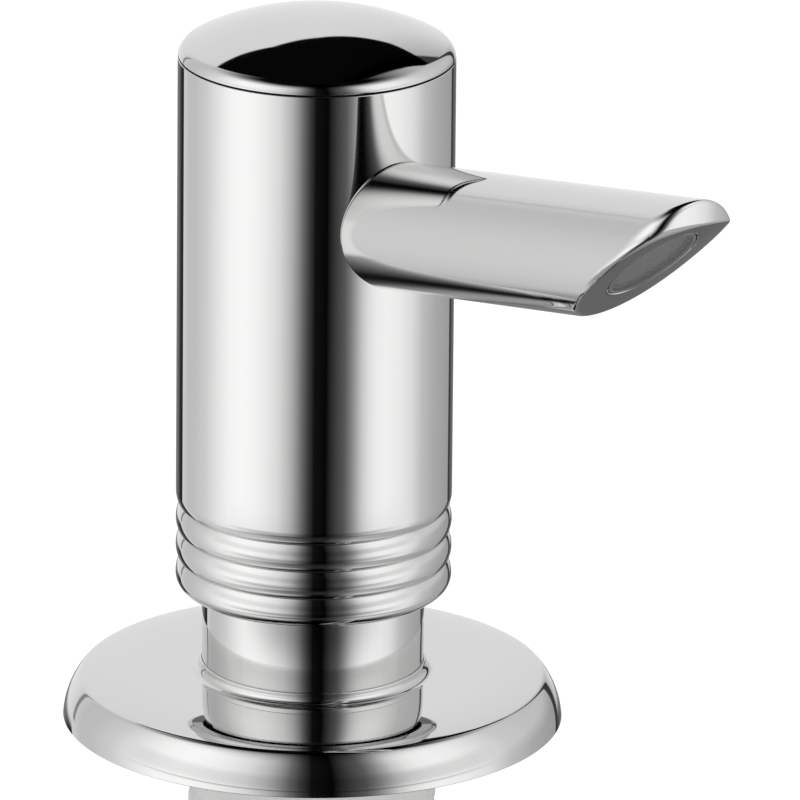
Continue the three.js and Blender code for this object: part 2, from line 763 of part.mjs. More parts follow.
function spout() {
  const boreRadius = soapTubeRadius + seatGap;
  const belowCut = new THREE.BoxGeometry(2 * spoutReach, 2 * spoutReach, spoutReach);
  belowCut.translate(0, 0, -spoutReach / 2);
  const outside = headRadius + seatGap;
  const root = bar(outside, 0, 2 * spoutAxisHeight, fineSides);
  const shaft = alongSpout(bar(spoutRadius, 0, spoutReach + spoutRadius, midSides))
    .subtract(root).intersect(noseLimit(spoutReach)).subtract(onCut(solid(belowCut)));
  const spigot = alongSpout(bar(spoutSpigotRadius, 0, outside + 2 * overrun, midSides))
    .subtract(bar(headBore, 0, 2 * spoutAxisHeight, fineSides));
  const boreEnd = spoutUnderLength + (spoutRadius - linerDepth / Math.cos(cutTurn)) / Math.tan(cutTurn);
  const bore = alongSpout(bar(boreRadius, 0, boreEnd, smallSides));
  const pocket = oval(outletHalfLength, outletHalfWidth, -overrun, linerDepth + seatGap);
  return shaft.add(spigot).subtract(bore).subtract(pocket);
}

piece("spout", spout(), chrome);

// Liner: a grey oval cup in the outlet, open downwards, with the soap's hole in its floor
function outletLiner() {
  const halfLength = outletHalfLength - seatGap;
  const halfWidth = outletHalfWidth - seatGap;
  const cup = oval(halfLength, halfWidth, 0, linerDepth);
  const hollow = oval(halfLength - linerWall, halfWidth - linerWall, -overrun, linerDepth - linerFloor);
  const hole = alongSpout(bar(linerHoleRadius, 0, spoutUnderLength + spoutRadius, smallSides));
  return cup.subtract(hollow).subtract(hole);
}

piece("outlet_liner", outletLiner(), greyPlastic);

// Soap tube from the core to the liner, with a seal where it leaves the core
const linerFoot = outletCentre - outletHalfLength + seatGap;
const linerToe = linerFoot * Math.cos(cutTurn) - linerDepth * Math.sin(cutTurn);
const soapTubeEnd = spoutUnderLength + linerToe - seatGap;
piece("soap_tube", alongSpout(ring(soapTubeRadius, soapTubeRadius - soapTubeWall, soapTubeStart, soapTubeEnd,
  smallSides)), whitePlastic);
const tubeSealIn = soapTubeRadius + seatGap;
piece("tube_seal", alongSpout(ring(tubeSealIn + tubeSealWidth, tubeSealIn, tubeSealStart,
  tubeSealStart + tubeSealLength, smallSides)), blackRubber);

export default part;
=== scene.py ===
# Looks of the deck-mounted soap dispenser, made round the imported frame.
# Piece sizes below are in millimetres, and mm turns them into the scene's metres.
import json
import math

import bmesh
import bpy
import numpy as np
from mathutils import Matrix, Vector

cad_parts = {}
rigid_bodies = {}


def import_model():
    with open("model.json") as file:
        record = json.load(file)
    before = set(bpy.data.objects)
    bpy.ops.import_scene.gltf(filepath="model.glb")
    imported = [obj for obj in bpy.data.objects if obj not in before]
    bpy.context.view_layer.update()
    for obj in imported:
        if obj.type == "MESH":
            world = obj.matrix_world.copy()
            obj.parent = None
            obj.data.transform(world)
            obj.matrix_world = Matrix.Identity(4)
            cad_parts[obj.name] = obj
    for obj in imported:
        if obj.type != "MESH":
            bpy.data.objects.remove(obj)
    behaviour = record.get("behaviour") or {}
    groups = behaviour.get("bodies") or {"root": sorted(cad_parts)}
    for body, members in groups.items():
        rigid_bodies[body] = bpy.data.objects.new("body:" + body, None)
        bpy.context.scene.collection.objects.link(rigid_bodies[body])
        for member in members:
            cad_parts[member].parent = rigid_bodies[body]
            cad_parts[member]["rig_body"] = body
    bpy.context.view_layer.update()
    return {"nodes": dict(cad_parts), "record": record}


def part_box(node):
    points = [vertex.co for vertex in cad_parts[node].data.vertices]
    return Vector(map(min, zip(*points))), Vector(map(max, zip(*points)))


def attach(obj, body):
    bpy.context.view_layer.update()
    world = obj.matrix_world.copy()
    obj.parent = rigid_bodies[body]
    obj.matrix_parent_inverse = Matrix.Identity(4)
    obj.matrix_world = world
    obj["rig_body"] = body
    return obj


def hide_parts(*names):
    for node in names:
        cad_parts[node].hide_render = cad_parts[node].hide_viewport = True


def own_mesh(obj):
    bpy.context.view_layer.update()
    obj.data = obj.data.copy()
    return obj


mm = 0.001
slack = 0.01  # a point this near to a face or height counts as on it, in millimetres

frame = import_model()
bpy.ops.object.select_all(action="DESELECT")
slots = {row["node"]: row["material_slot"] for row in frame["record"]["subparts"]}
print("frame loaded:", len(frame["nodes"]), "nodes")

scene = bpy.context.scene
scene.view_settings.view_transform = "Standard"


# Camera: level turn from the spout, height above the deck and a long lens, as in the photograph
shot = {"turn": 52.39, "rise": 18.56, "roll": 0.526, "distance": 1.6, "lens": 664.25, "sensor": 36,
        "clipFrom": 0.05, "clipTo": 50, "aimBeside": 9.257, "aimHeight": 36.101}


def makeCamera():
    turn, rise, roll = (math.radians(shot[key]) for key in ("turn", "rise", "roll"))
    beside = Vector((math.cos(turn), math.sin(turn), 0))
    back = Vector((math.sin(turn) * math.cos(rise), -math.cos(turn) * math.cos(rise), math.sin(rise)))
    above = back.cross(beside)
    sideways = math.cos(roll) * beside + math.sin(roll) * above
    upward = math.cos(roll) * above - math.sin(roll) * beside
    aim = beside * shot["aimBeside"] * mm + Vector((0, 0, shot["aimHeight"])) * mm
    bpy.ops.object.camera_add()
    camera = bpy.context.object
    camera.data.sensor_width = shot["sensor"]
    camera.data.lens = shot["lens"]
    camera.data.clip_start = shot["clipFrom"]
    camera.data.clip_end = shot["clipTo"]
    facing = Matrix((sideways, upward, back)).transposed().to_4x4()
    camera.matrix_world = Matrix.Translation(aim + back * shot["distance"]) @ facing
    scene.camera = camera


makeCamera()


# Materials
def startMaterial(name):
    material = bpy.data.materials.new(name)
    material.use_nodes = True
    return material, material.node_tree, material.node_tree.nodes["Principled BSDF"]


def startBare(name):
    # A material with nothing but its output node
    material, tree, _ = startMaterial(name)
    tree.nodes.clear()
    return material, tree, tree.nodes.new("ShaderNodeOutputMaterial")


def feed(tree, node, inputs):
    # Another node's output is linked to its input, and any other value is set there.
    for key, value in inputs.items():
        if isinstance(value, bpy.types.NodeSocket):
            tree.links.new(value, node.inputs[key])
        else:
            node.inputs[key].default_value = value


def nodeOn(tree, kind, inputs, **settings):
    # Adds a node and gives its outputs
    node = tree.nodes.new("ShaderNode" + kind)
    for key, value in settings.items():
        setattr(node, key, value)
    feed(tree, node, inputs)
    return node.outputs


def placeOn(tree):
    return nodeOn(tree, "TexCoord", {})["Object"]


def noiseOn(tree, scale, detail, stretch=(1, 1, 1)):
    place = nodeOn(tree, "Mapping", {"Vector": placeOn(tree), "Scale": stretch})["Vector"]
    return nodeOn(tree, "TexNoise", {"Vector": place, "Scale": scale, "Detail": detail})["Fac"]


def spread(tree, noise, low, high):
    # Nearly all of a noise lies between 0.3 and 0.7, which become low and high.
    reach = {"Value": noise, "From Min": 0.3, "From Max": 0.7, "To Min": low, "To Max": high}
    return nodeOn(tree, "MapRange", reach)["Result"]


def mathOn(tree, operation, first, second=0):
    return nodeOn(tree, "Math", {0: first, 1: second}, operation=operation)["Value"]


def times(tree, first, second):
    return mathOn(tree, "MULTIPLY", first, second)


def bumpFrom(tree, height, strength, depth):
    return nodeOn(tree, "Bump", {"Height": height, "Strength": strength, "Distance": depth})["Normal"]


# Polished plating: nearly a mirror, a little hazier in soft patches and along fine polishing lines
plating = {"colour": (0.7, 0.697, 0.694, 1), "smooth": 0.022, "hazy": 0.05, "patches": 55, "patchDetail": 3,
           "lines": 700, "lineDetail": 2, "lineStretch": 0.04, "ripple": 0.05, "rippleDepth": 0.00002}


def makeChrome():
    material, tree, shader = startMaterial("chrome_plating")
    patches = noiseOn(tree, plating["patches"], plating["patchDetail"])
    lines = noiseOn(tree, plating["lines"], plating["lineDetail"], (1, 1, plating["lineStretch"]))
    haze = times(tree, mathOn(tree, "ADD", patches, lines), 0.5)
    feed(tree, shader, {"Base Color": plating["colour"], "Metallic": 1,
                        "Roughness": spread(tree, haze, plating["smooth"], plating["hazy"]),
                        "Normal": bumpFrom(tree, patches, plating["ripple"], plating["rippleDepth"])})
    return material


# Plastics, rubber and steel: mottled between two colours, with a fine grain. Each row holds the name, the
# colours, the least and most roughness, the grain's scale and depth, and 1 for a metal.
grain = {"detail": 6, "fineness": 8, "fineDetail": 3, "bump": 0.4}
grained = {
    "steel": ("brushed_steel", (0.42, 0.43, 0.44), (0.56, 0.57, 0.58), 0.22, 0.34, 300, 0.00002, 1),
    "grey_plastic": ("grey_plastic", (0.17, 0.17, 0.168), (0.21, 0.21, 0.207), 0.45, 0.6, 500, 0.00003),
    "white_plastic": ("white_plastic", (0.86, 0.86, 0.85), (0.92, 0.92, 0.91), 0.32, 0.46, 400, 0.00003),
    "black_plastic": ("black_plastic", (0.018, 0.018, 0.02), (0.032, 0.032, 0.035), 0.4, 0.55, 420, 0.00004),
    "rubber": ("black_rubber", (0.01, 0.01, 0.01), (0.022, 0.022, 0.022), 0.6, 0.8, 700, 0.00006),
    # The last row is painted shade: a near-black finish for faces deep in the chrome's seams, where shade
    # falls.
    "seam_shade": ("painted_seam_shade", (0.02, 0.02, 0.02), (0.035, 0.034, 0.032), 0.55, 0.7, 300, 0.00003),
}


def makeGrained(name, dark, light, low, high, scale, depth, metal=0):
    material, tree, shader = startMaterial(name)
    noise = noiseOn(tree, scale, grain["detail"])
    mottle = {"Factor": noise, "A": (*dark, 1), "B": (*light, 1)}
    fine = noiseOn(tree, scale * grain["fineness"], grain["fineDetail"])
    feed(tree, shader, {"Base Color": nodeOn(tree, "Mix", mottle, data_type="RGBA")["Result"],
                        "Metallic": metal, "Roughness": spread(tree, noise, low, high),
                        "Normal": bumpFrom(tree, fine, grain["bump"], depth)})
    return material


# Frosted clear plastics: name, tint, least and most roughness
frost = {"transmission": 0.92, "ior": 1.46, "cloud": 110, "cloudDetail": 3, "bump": 0.03, "bumpDepth": 0.0001}
frosted = {"bottle_plastic": ("bottle_plastic", (0.93, 0.95, 0.94, 1), 0.4, 0.5),
           "tube_plastic": ("tube_plastic", (0.95, 0.96, 0.95, 1), 0.25, 0.35)}


def makeFrosted(name, tint, low, high):
    material, tree, shader = startMaterial(name)
    cloud = noiseOn(tree, frost["cloud"], frost["cloudDetail"])
    feed(tree, shader, {"Base Color": tint, "Transmission Weight": frost["transmission"], "IOR": frost["ior"],
                        "Roughness": spread(tree, cloud, low, high),
                        "Normal": bumpFrom(tree, cloud, frost["bump"], frost["bumpDepth"])})
    return material


finishes = {"chrome": makeChrome()}
for slot, row in grained.items():
    finishes[slot] = makeGrained(*row)
for slot, row in frosted.items():
    finishes[slot] = makeFrosted(*row)
print("materials made:", len(finishes))


# Modelling helpers
def rounded(corners, steps=6):
    # Corners are (radius, height) or (radius, height, rounding); rounded ones become arcs.
    points = []
    for i, corner in enumerate(corners):
        here = Vector(corner[:2])
        size = corner[2] if len(corner) > 2 else 0
        if not size:
            points.append(here)
            continue
        before = (Vector(corners[i - 1][:2]) - here).normalized()
        after = (Vector(corners[(i + 1) % len(corners)][:2]) - here).normalized()
        half = before.angle(after) / 2
        centre = here + (before + after).normalized() * size / math.sin(half)
        start = here + before * size / math.tan(half) - centre
        end = here + after * size / math.tan(half) - centre
        points += [centre + start.slerp(end, k / steps).normalized() * size for k in range(steps + 1)]
    return [(point.x, point.y) for point in points]


def arc(centre, radius, fromDeg, toDeg, steps, height=None):
    # Part of a circle, or of an ellipse when its height differs
    turns = [math.radians(fromDeg + (toDeg - fromDeg) * k / steps) for k in range(steps + 1)]
    height = height or radius
    return [(centre[0] + radius * math.cos(t), centre[1] + height * math.sin(t)) for t in turns]


def newest(name):
    piece = bpy.context.object
    piece.name = piece.data.name = name
    return piece


def weld():
    bpy.ops.mesh.select_all(action="SELECT")
    bpy.ops.mesh.remove_doubles(threshold=0.002 * mm)


def startWire(name, outline):
    bpy.ops.mesh.primitive_plane_add(size=mm)
    piece = newest(name)
    bpy.ops.object.mode_set(mode="EDIT")
    bpy.ops.mesh.select_all(action="SELECT")
    bpy.ops.mesh.merge(type="CENTER")
    bpy.ops.transform.translate(value=(outline[0][0] * mm, 0, outline[0][1] * mm))
    for (r0, z0), (r1, z1) in zip(outline, outline[1:]):
        move = {"value": ((r1 - r0) * mm, 0, (z1 - z0) * mm)}
        bpy.ops.mesh.extrude_vertices_move(TRANSFORM_OT_translate=move)
    return piece


def closeUp():
    weld()
    bpy.ops.mesh.normals_make_consistent(inside=False)
    bpy.ops.object.mode_set(mode="OBJECT")


def loft(name, rows):
    # A closed bar through rings of points, from its start face to its end face
    bpy.ops.mesh.primitive_circle_add(vertices=len(rows[0]), radius=mm)
    piece = newest(name)
    bpy.ops.object.mode_set(mode="EDIT")
    bpy.ops.mesh.select_all(action="SELECT")
    bpy.ops.mesh.edge_face_add()
    for i, row in enumerate(rows):
        if i:
            bpy.ops.mesh.extrude_region_move(TRANSFORM_OT_translate={"value": (0, 0, mm)})
        mesh = bmesh.from_edit_mesh(piece.data)
        for vertex, place in zip([v for v in mesh.verts if v.select], row):
            vertex.co = Vector(place) * mm
        bmesh.update_edit_mesh(piece.data)
    closeUp()
    return piece


def cutBy(piece, cutters):
    for cutter in cutters:
        hole = piece.modifiers.new("hole", "BOOLEAN")
        hole.object = cutter
        hole.operation = "DIFFERENCE"
        hole.solver = "EXACT"
        bpy.context.view_layer.objects.active = piece
        bpy.ops.object.modifier_apply(modifier=hole.name)
        bpy.data.objects.remove(cutter)


def smoothOver(piece, sharpDeg=35):
    bpy.ops.object.select_all(action="DESELECT")
    piece.select_set(True)
    bpy.context.view_layer.objects.active = piece
    bpy.ops.object.shade_smooth()
    bpy.ops.object.shade_smooth_by_angle(angle=math.radians(sharpDeg))
    weighted = piece.modifiers.new("weighted", "WEIGHTED_NORMAL")
    weighted.keep_sharp = True
    weighted.weight = 80
    bpy.ops.object.modifier_apply(modifier=weighted.name)
    piece.select_set(False)


def turned(name, outline, columns, ring=True):
    # A ring's outline closes on itself; another one starts and ends on the axis.
    piece = startWire(name, outline + outline[:1] if ring else outline)
    weld()
    bpy.ops.mesh.select_all(action="SELECT")
    bpy.ops.mesh.spin(steps=columns, angle=2 * math.pi, center=(0, 0, 0), axis=(0, 0, 1))
    closeUp()
    smoothOver(piece)
    return piece


def pipe(name, radius, bore, bottom, top, edge, boreEdge, columns):
    # A plain tube or ring with rounded edges
    return turned(name, rounded([(radius, bottom, edge), (radius, top, edge), (bore, top, boreEdge),
                                 (bore, bottom, boreEdge)]), columns)


def pullIn(piece, newRadius):
    # Every point moves in to the radius that newRadius gives for its radius, turn and height.
    for vertex in piece.data.vertices:
        x, y, z = vertex.co / mm
        radius = math.hypot(x, y)
        pull = newRadius(radius, math.atan2(y, x), z) / radius
        vertex.co.x *= pull
        vertex.co.y *= pull


def finishPiece(piece, *nodes):
    # The piece rides and is finished as the first node that it stands for.
    piece.data.materials.clear()
    piece.data.materials.append(finishes[slots[nodes[0]]])
    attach(piece, frame["nodes"][nodes[0]]["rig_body"])
    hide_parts(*nodes)
    piece.select_set(False)
    print("piece made:", piece.name)
    return piece


def paintSeamShade(piece, hidden):
    # Faces inside a seam get painted shade, a near-black finish in place of the chrome; hidden tells them by
    # their middle's radius and height.
    piece.data.materials.append(finishes["seam_shade"])
    for face in piece.data.polygons:
        middle = face.center / mm
        if hidden(math.hypot(middle.x, middle.y), middle.z):
            face.material_index = 1


def spanOf(node):
    # Bottom, top and outer radius of a turned node, in millimetres
    low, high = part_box(node)
    return low[2] / mm, high[2] / mm, high[0] / mm


# Deck plate: level top that bends down into a crease, rolled shoulder, low bead round the neck, seats below
plate = {"radius": 27.2, "creaseIn": 1.9, "creaseHeight": 4.6, "creaseRound": 1, "shoulderDeg": 49,
         "foot": 0.06, "rimLean": 0.25, "topHeight": 5.35, "topBend": 4, "topSteps": 24, "shoulderSteps": 30,
         "beadRadius": 12.35, "beadHeight": 6.6, "beadRound": 0.16, "beadFoot": 0.9, "footReach": 1,
         "lip": 12.13, "lipRound": 0.05, "lipDepth": 1.7, "lipChromeDepth": 0.4, "bore": 12.67, "underside": 2.8,
         "seatRadius": 17.3, "grooveIn": 20.1, "grooveOut": 24.1, "grooveHeight": 1.6}


def makePlate():
    p = plate
    creaseRadius = p["radius"] - p["creaseIn"]
    crease = Vector((creaseRadius, p["creaseHeight"]))
    rim = Vector((p["radius"], p["foot"]))
    drop = (p["creaseIn"] - p["rimLean"]) * math.tan(math.radians(p["shoulderDeg"]))
    pull = Vector((p["radius"] - p["rimLean"], p["creaseHeight"] - drop))
    corners = []
    for k in range(p["shoulderSteps"] - 2):  # the last two points make way for the crease's rounding
        share = k / p["shoulderSteps"]
        corners.append(tuple((1 - share) ** 2 * rim + 2 * share * (1 - share) * pull + share ** 2 * crease))
    corners.append((*crease, p["creaseRound"]))
    fall = p["topHeight"] - p["creaseHeight"]
    innerRadius = p["beadRadius"] + p["footReach"]
    for k in range(1, p["topSteps"] + 1):
        share = 1 - k / p["topSteps"]
        corners.append((innerRadius + (creaseRadius - innerRadius) * share,
                        p["topHeight"] - fall * share ** p["topBend"]))
    ledge = p["beadHeight"] - p["lipDepth"]
    corners += [
        (p["beadRadius"], p["topHeight"], p["beadFoot"]), (p["beadRadius"], p["beadHeight"], p["beadRound"]),
        (p["lip"], p["beadHeight"], p["lipRound"]), (p["lip"], ledge), (p["bore"], ledge),
        (p["bore"], p["underside"]), (p["seatRadius"], p["underside"]), (p["seatRadius"], 0),
        (p["grooveIn"], 0), (p["grooveIn"], p["grooveHeight"]), (p["grooveOut"], p["grooveHeight"]),
        (p["grooveOut"], 0), (p["radius"] - p["foot"], 0),
    ]
    return turned("plate_shell", rounded(corners, steps=10), columns=288)


def plateHidden(radius, height):
    inLip = radius < plate["lip"] + slack and height < plate["beadHeight"] - plate["lipChromeDepth"]
    inBore = radius < plate["bore"] + slack and height < plate["beadHeight"] - plate["lipDepth"] + slack
    return inLip or inBore or height < plate["underside"] + slack and radius < plate["grooveOut"] + slack


# The lip and bore round the neck and the plate's underside get painted shade.
paintSeamShade(finishPiece(makePlate(), "deck_plate"), plateHidden)

# Neck: chrome from just under the bead's top up to its upper edge, with painted shade below that and along
# its bore
neck = {"radius": 12.1, "bore": 11, "bottom": 2.8, "top": 23, "edge": 0.45, "boreEdge": 0.2, "boreShadeWidth": 0.3,
        "shadeTop": plate["beadHeight"] - 0.15, "groove": 11.8, "grooveBottom": 18.6, "grooveTop": 21.8}


def makeNeck():
    n = neck
    return turned("neck_tube", rounded([
        (n["radius"], n["bottom"]), (n["radius"], n["shadeTop"]), (n["radius"], n["grooveBottom"]),
        (n["groove"], n["grooveBottom"]), (n["groove"], n["grooveTop"]), (n["radius"], n["grooveTop"]),
        (n["radius"], n["top"], n["edge"]), (n["bore"], n["top"], n["boreEdge"]), (n["bore"], n["bottom"]),
    ]), columns=192)


paintSeamShade(finishPiece(makeNeck(), "neck_sleeve"),
              lambda radius, height: height < neck["shadeTop"] or radius < neck["bore"] + neck["boreShadeWidth"])

# Head: tube whose skirt bulges between three sharp grooves
head = {"radius": 15, "bore": 13.3, "lip": 12.75, "lipTop": 15.6, "skirtRound": 1.8, "skirtCrest": 16.45,
        "skirtEndDeg": -61, "skirtEdge": 0.05, "grooves": (18.1, 21.2, 24.3), "grooveDepth": 0.48,
        "arcSteps": 16, "topRoll": 1.55, "top": 75.03, "topEdge": 0.12, "topShadeGap": 0.02, "boreShadeGap": 0.05}


def bulge(bottom, top):
    # Arc from one groove to the next, as deep as the grooves
    half, depth = (top - bottom) / 2, head["grooveDepth"]
    size = (half * half + depth * depth) / (2 * depth)
    turn = math.degrees(math.asin(half / size))
    return arc((head["radius"] - size, (bottom + top) / 2), size, -turn, turn, head["arcSteps"])


def makeHead():
    radius, bore, lip, soft = head["radius"], head["bore"], head["lip"], head["skirtEdge"]
    first, last = head["grooves"][0], head["grooves"][-1]
    crest = head["arcSteps"] // 2 + 1  # an arc's first point past its crest
    skirt = arc((radius - head["skirtRound"], head["skirtCrest"]), head["skirtRound"], head["skirtEndDeg"], 0,
                head["arcSteps"])
    endTurn = math.radians(head["skirtEndDeg"])
    edge = (skirt[0][0] - soft * math.cos(endTurn), skirt[0][1] - soft * math.sin(endTurn))
    outline = [(bore, head["lipTop"]), (lip, head["lipTop"]), (lip, edge[1] - soft)]
    outline += arc(edge, soft, -90, head["skirtEndDeg"], steps=6)[:-1] + skirt
    outline += bulge(2 * head["skirtCrest"] - first, first)[crest:]
    for bottom, top in zip(head["grooves"], head["grooves"][1:]):
        outline += bulge(bottom, top)[1:]
    outline += bulge(last, last + 2 * head["topRoll"])[1:crest]
    outline += rounded([(bore, last), (radius, last), (radius, head["top"], head["topEdge"]),
                        (bore, head["top"])])[2:]
    return turned("head_tube", outline, columns=288)


# The head's bore and its top face under the cap's seam get painted shade.
paintSeamShade(finishPiece(makeHead(), "head_body"), lambda radius, height:
              radius < head["bore"] + head["boreShadeGap"] or height > head["top"] - head["topShadeGap"])

# Cap: shallow dome with a rolled edge
cap = {"dome": 30.8, "edgeRound": 1.85, "apex": 79.9, "seam": 75.22, "spigot": 13, "spigotWall": 2,
       "spigotBottom": 70.95, "lowerEdge": 0.1, "chromeRim": 0.1}


def makeCap():
    domeCentre = cap["apex"] - cap["dome"]
    edgeCentre = head["radius"] - cap["edgeRound"]
    edgeHeight = domeCentre + math.sqrt((cap["dome"] - cap["edgeRound"]) ** 2 - edgeCentre ** 2)
    edgeTurn = math.degrees(math.atan2(edgeHeight - domeCentre, edgeCentre))
    startTurn = math.degrees(math.asin((cap["seam"] + cap["lowerEdge"] - edgeHeight) / cap["edgeRound"]))
    rolled = arc((edgeCentre, edgeHeight), cap["edgeRound"], startTurn, edgeTurn, steps=16)
    inner = cap["spigot"] - cap["spigotWall"]
    outline = [(0, cap["seam"]), (inner, cap["seam"]), (inner, cap["spigotBottom"]),
               (cap["spigot"], cap["spigotBottom"]), (cap["spigot"], cap["seam"])]
    lower = rounded([outline[-1], (rolled[0][0], cap["seam"], cap["lowerEdge"] / 2), rolled[0]])
    outline += lower[1:-1] + rolled
    outline += arc((0, domeCentre), cap["dome"], edgeTurn, 90, steps=20)[1:-1]
    outline.append((0, cap["apex"]))
    return turned("head_cap", outline, columns=192, ring=False)


# The cap's underside and spigot below the seam get painted shade, all but a thin ring at the rim.
paintSeamShade(finishPiece(makeCap(), "top_cap"), lambda radius, height:
              radius < head["radius"] - cap["chromeRim"] and height < cap["seam"] + slack)

# Spout: a round bar that rises from the head, with a slanting cut and a rounded nose. Its edges are soft on
# the near side and sharpen from nearEdge to farEdge, and the rim is sharper on its low side too.
spout = {"rise": 10.05, "cut": 40.24, "radius": 6.94, "axisHeight": 57.08, "reach": 65.41, "cutLength": 22.03,
         "noseRadius": 13.42, "creaseRound": 0.4, "nearRound": 1.1, "lowRound": 1.7, "lowBend": 1.5,
         "rimRound": 0.8, "farRound": 0.25, "lowSharp": 0.9, "lowReach": 0.4, "nearEdge": -5, "farEdge": 1,
         "crown": 0.4, "crownBend": 3, "rootRound": 0.35, "rootGap": 0.04, "rootZone": 0.5, "rootCover": 0.4,
         "rootSink": 0.5, "spigot": 6, "spigotIn": 0.2, "endZone": 2.6, "faceReach": 1.6, "faceShare": 0.8,
         "columns": 320, "rootRows": 12, "barRows": 14, "endRows": 60, "faceRows": 6}
settling = {"rounds": 12, "step": 0.002, "leastSlope": 0.25}
outlet = {"footMargin": 5.45, "tipMargin": 1.98, "halfWidth": 4, "depth": 3, "edge": 0.15, "edgeSteps": 4}

axisTurn = math.radians(spout["rise"])
cutTurn = math.radians(spout["cut"])
axisWay = np.array([math.cos(axisTurn), 0, math.sin(axisTurn)])
axisUp = np.array([-math.sin(axisTurn), 0, math.cos(axisTurn)])
axisSide = np.array([0, 1, 0])
axisStart = np.array([0, 0, spout["axisHeight"]])
cutWay = np.array([math.cos(cutTurn), 0, math.sin(cutTurn)])
cutOut = np.array([math.sin(cutTurn), 0, -math.cos(cutTurn)])
cutReach = spout["reach"] - spout["cutLength"] * math.cos(cutTurn)
cutStart = np.array([cutReach, 0, spout["axisHeight"] + cutReach * math.tan(axisTurn)
                     - spout["radius"] / math.cos(axisTurn)])
outletHalf = (spout["cutLength"] - outlet["footMargin"] - outlet["tipMargin"]) / 2
outletCentre = outlet["footMargin"] + outletHalf
alongSpout = Matrix.Translation(Vector(axisStart) * mm) @ Matrix.Rotation(math.pi / 2 - axisTurn, 4, "Y")


def softMax(a, b, reach):
    blend = np.maximum(reach - np.abs(a - b), 0) / reach
    return np.maximum(a, b) + blend * blend * reach / 4


def spoutDistance(points):
    # Distance from the finished surface, negative inside, with its soft edges
    s = spout
    along = points - axisStart
    across = along - np.outer(along @ axisWay, axisWay)
    bar = np.linalg.norm(across, axis=1) - s["radius"]
    lift = np.clip(across @ axisUp / s["radius"], -1, 1)
    centre = s["reach"] - s["noseRadius"]
    nose = np.hypot(np.maximum(points[:, 0] - centre, 0), points[:, 1]) - s["noseRadius"]
    near = np.clip((s["farEdge"] - points[:, 1]) / (s["farEdge"] - s["nearEdge"]), 0, 1)
    softer = s["nearRound"] + s["lowRound"] * (1 - np.maximum(lift, 0)) ** s["lowBend"]
    low = np.clip(-lift / s["lowReach"], 0, 1)
    rim = s["farRound"] + (s["rimRound"] - s["farRound"]) * near * (1 - low * s["lowSharp"])
    crown = s["crown"] * np.maximum(points[:, 1] / s["radius"], 0) ** s["crownBend"]
    cut = (points - cutStart) @ cutOut + crown
    root = head["radius"] + s["rootGap"] - np.hypot(points[:, 0], points[:, 1])
    end = softMax(softMax(bar, nose, s["creaseRound"] + near * softer), cut, rim)
    return softMax(end, root, s["rootRound"])


def spoutSlope(points):
    step = settling["step"]
    slope = np.zeros_like(points)
    for axis in range(3):
        shift = np.zeros(3)
        shift[axis] = step
        slope[:, axis] = (spoutDistance(points + shift) - spoutDistance(points - shift)) / (2 * step)
    return slope


def settle(points):
    # Moves points onto the finished surface
    for _ in range(settling["rounds"]):
        slope = spoutSlope(points)
        steepness = np.maximum((slope ** 2).sum(1), settling["leastSlope"])
        points = points - (spoutDistance(points) / steepness)[:, None] * slope
    return points


def spreadAlong(corners, count):
    # Points at even steps along a path of corners, each corner an array of one point per column
    lengths = [np.linalg.norm(b - a, axis=1) for a, b in zip(corners, corners[1:])]
    total = sum(lengths)
    rows = []
    for k in range(count + 1):
        left = total * k / count
        row = np.array(corners[0])
        for (a, b), length in zip(zip(corners, corners[1:]), lengths):
            share = np.clip(left / np.maximum(length, 1e-9), 0, 1)
            row = row + share[:, None] * (b - a)
            left = np.maximum(left - length, 0)
        rows.append(row)
    return rows


def evenTurns(count):
    return np.linspace(0, 2 * math.pi, count, endpoint=False)


def quarterTurns(steps):
    return [math.pi / 2 * k / steps for k in range(steps + 1)]


def ovalRing(turns, inset, sink):
    # Points round the outlet's oval, drawn in from it and sunk below the cut
    return cutStart + np.outer(outletCentre + (outletHalf - inset) * np.cos(turns), cutWay) \
        + np.outer((outlet["halfWidth"] - inset) * np.sin(turns), axisSide) - sink * cutOut


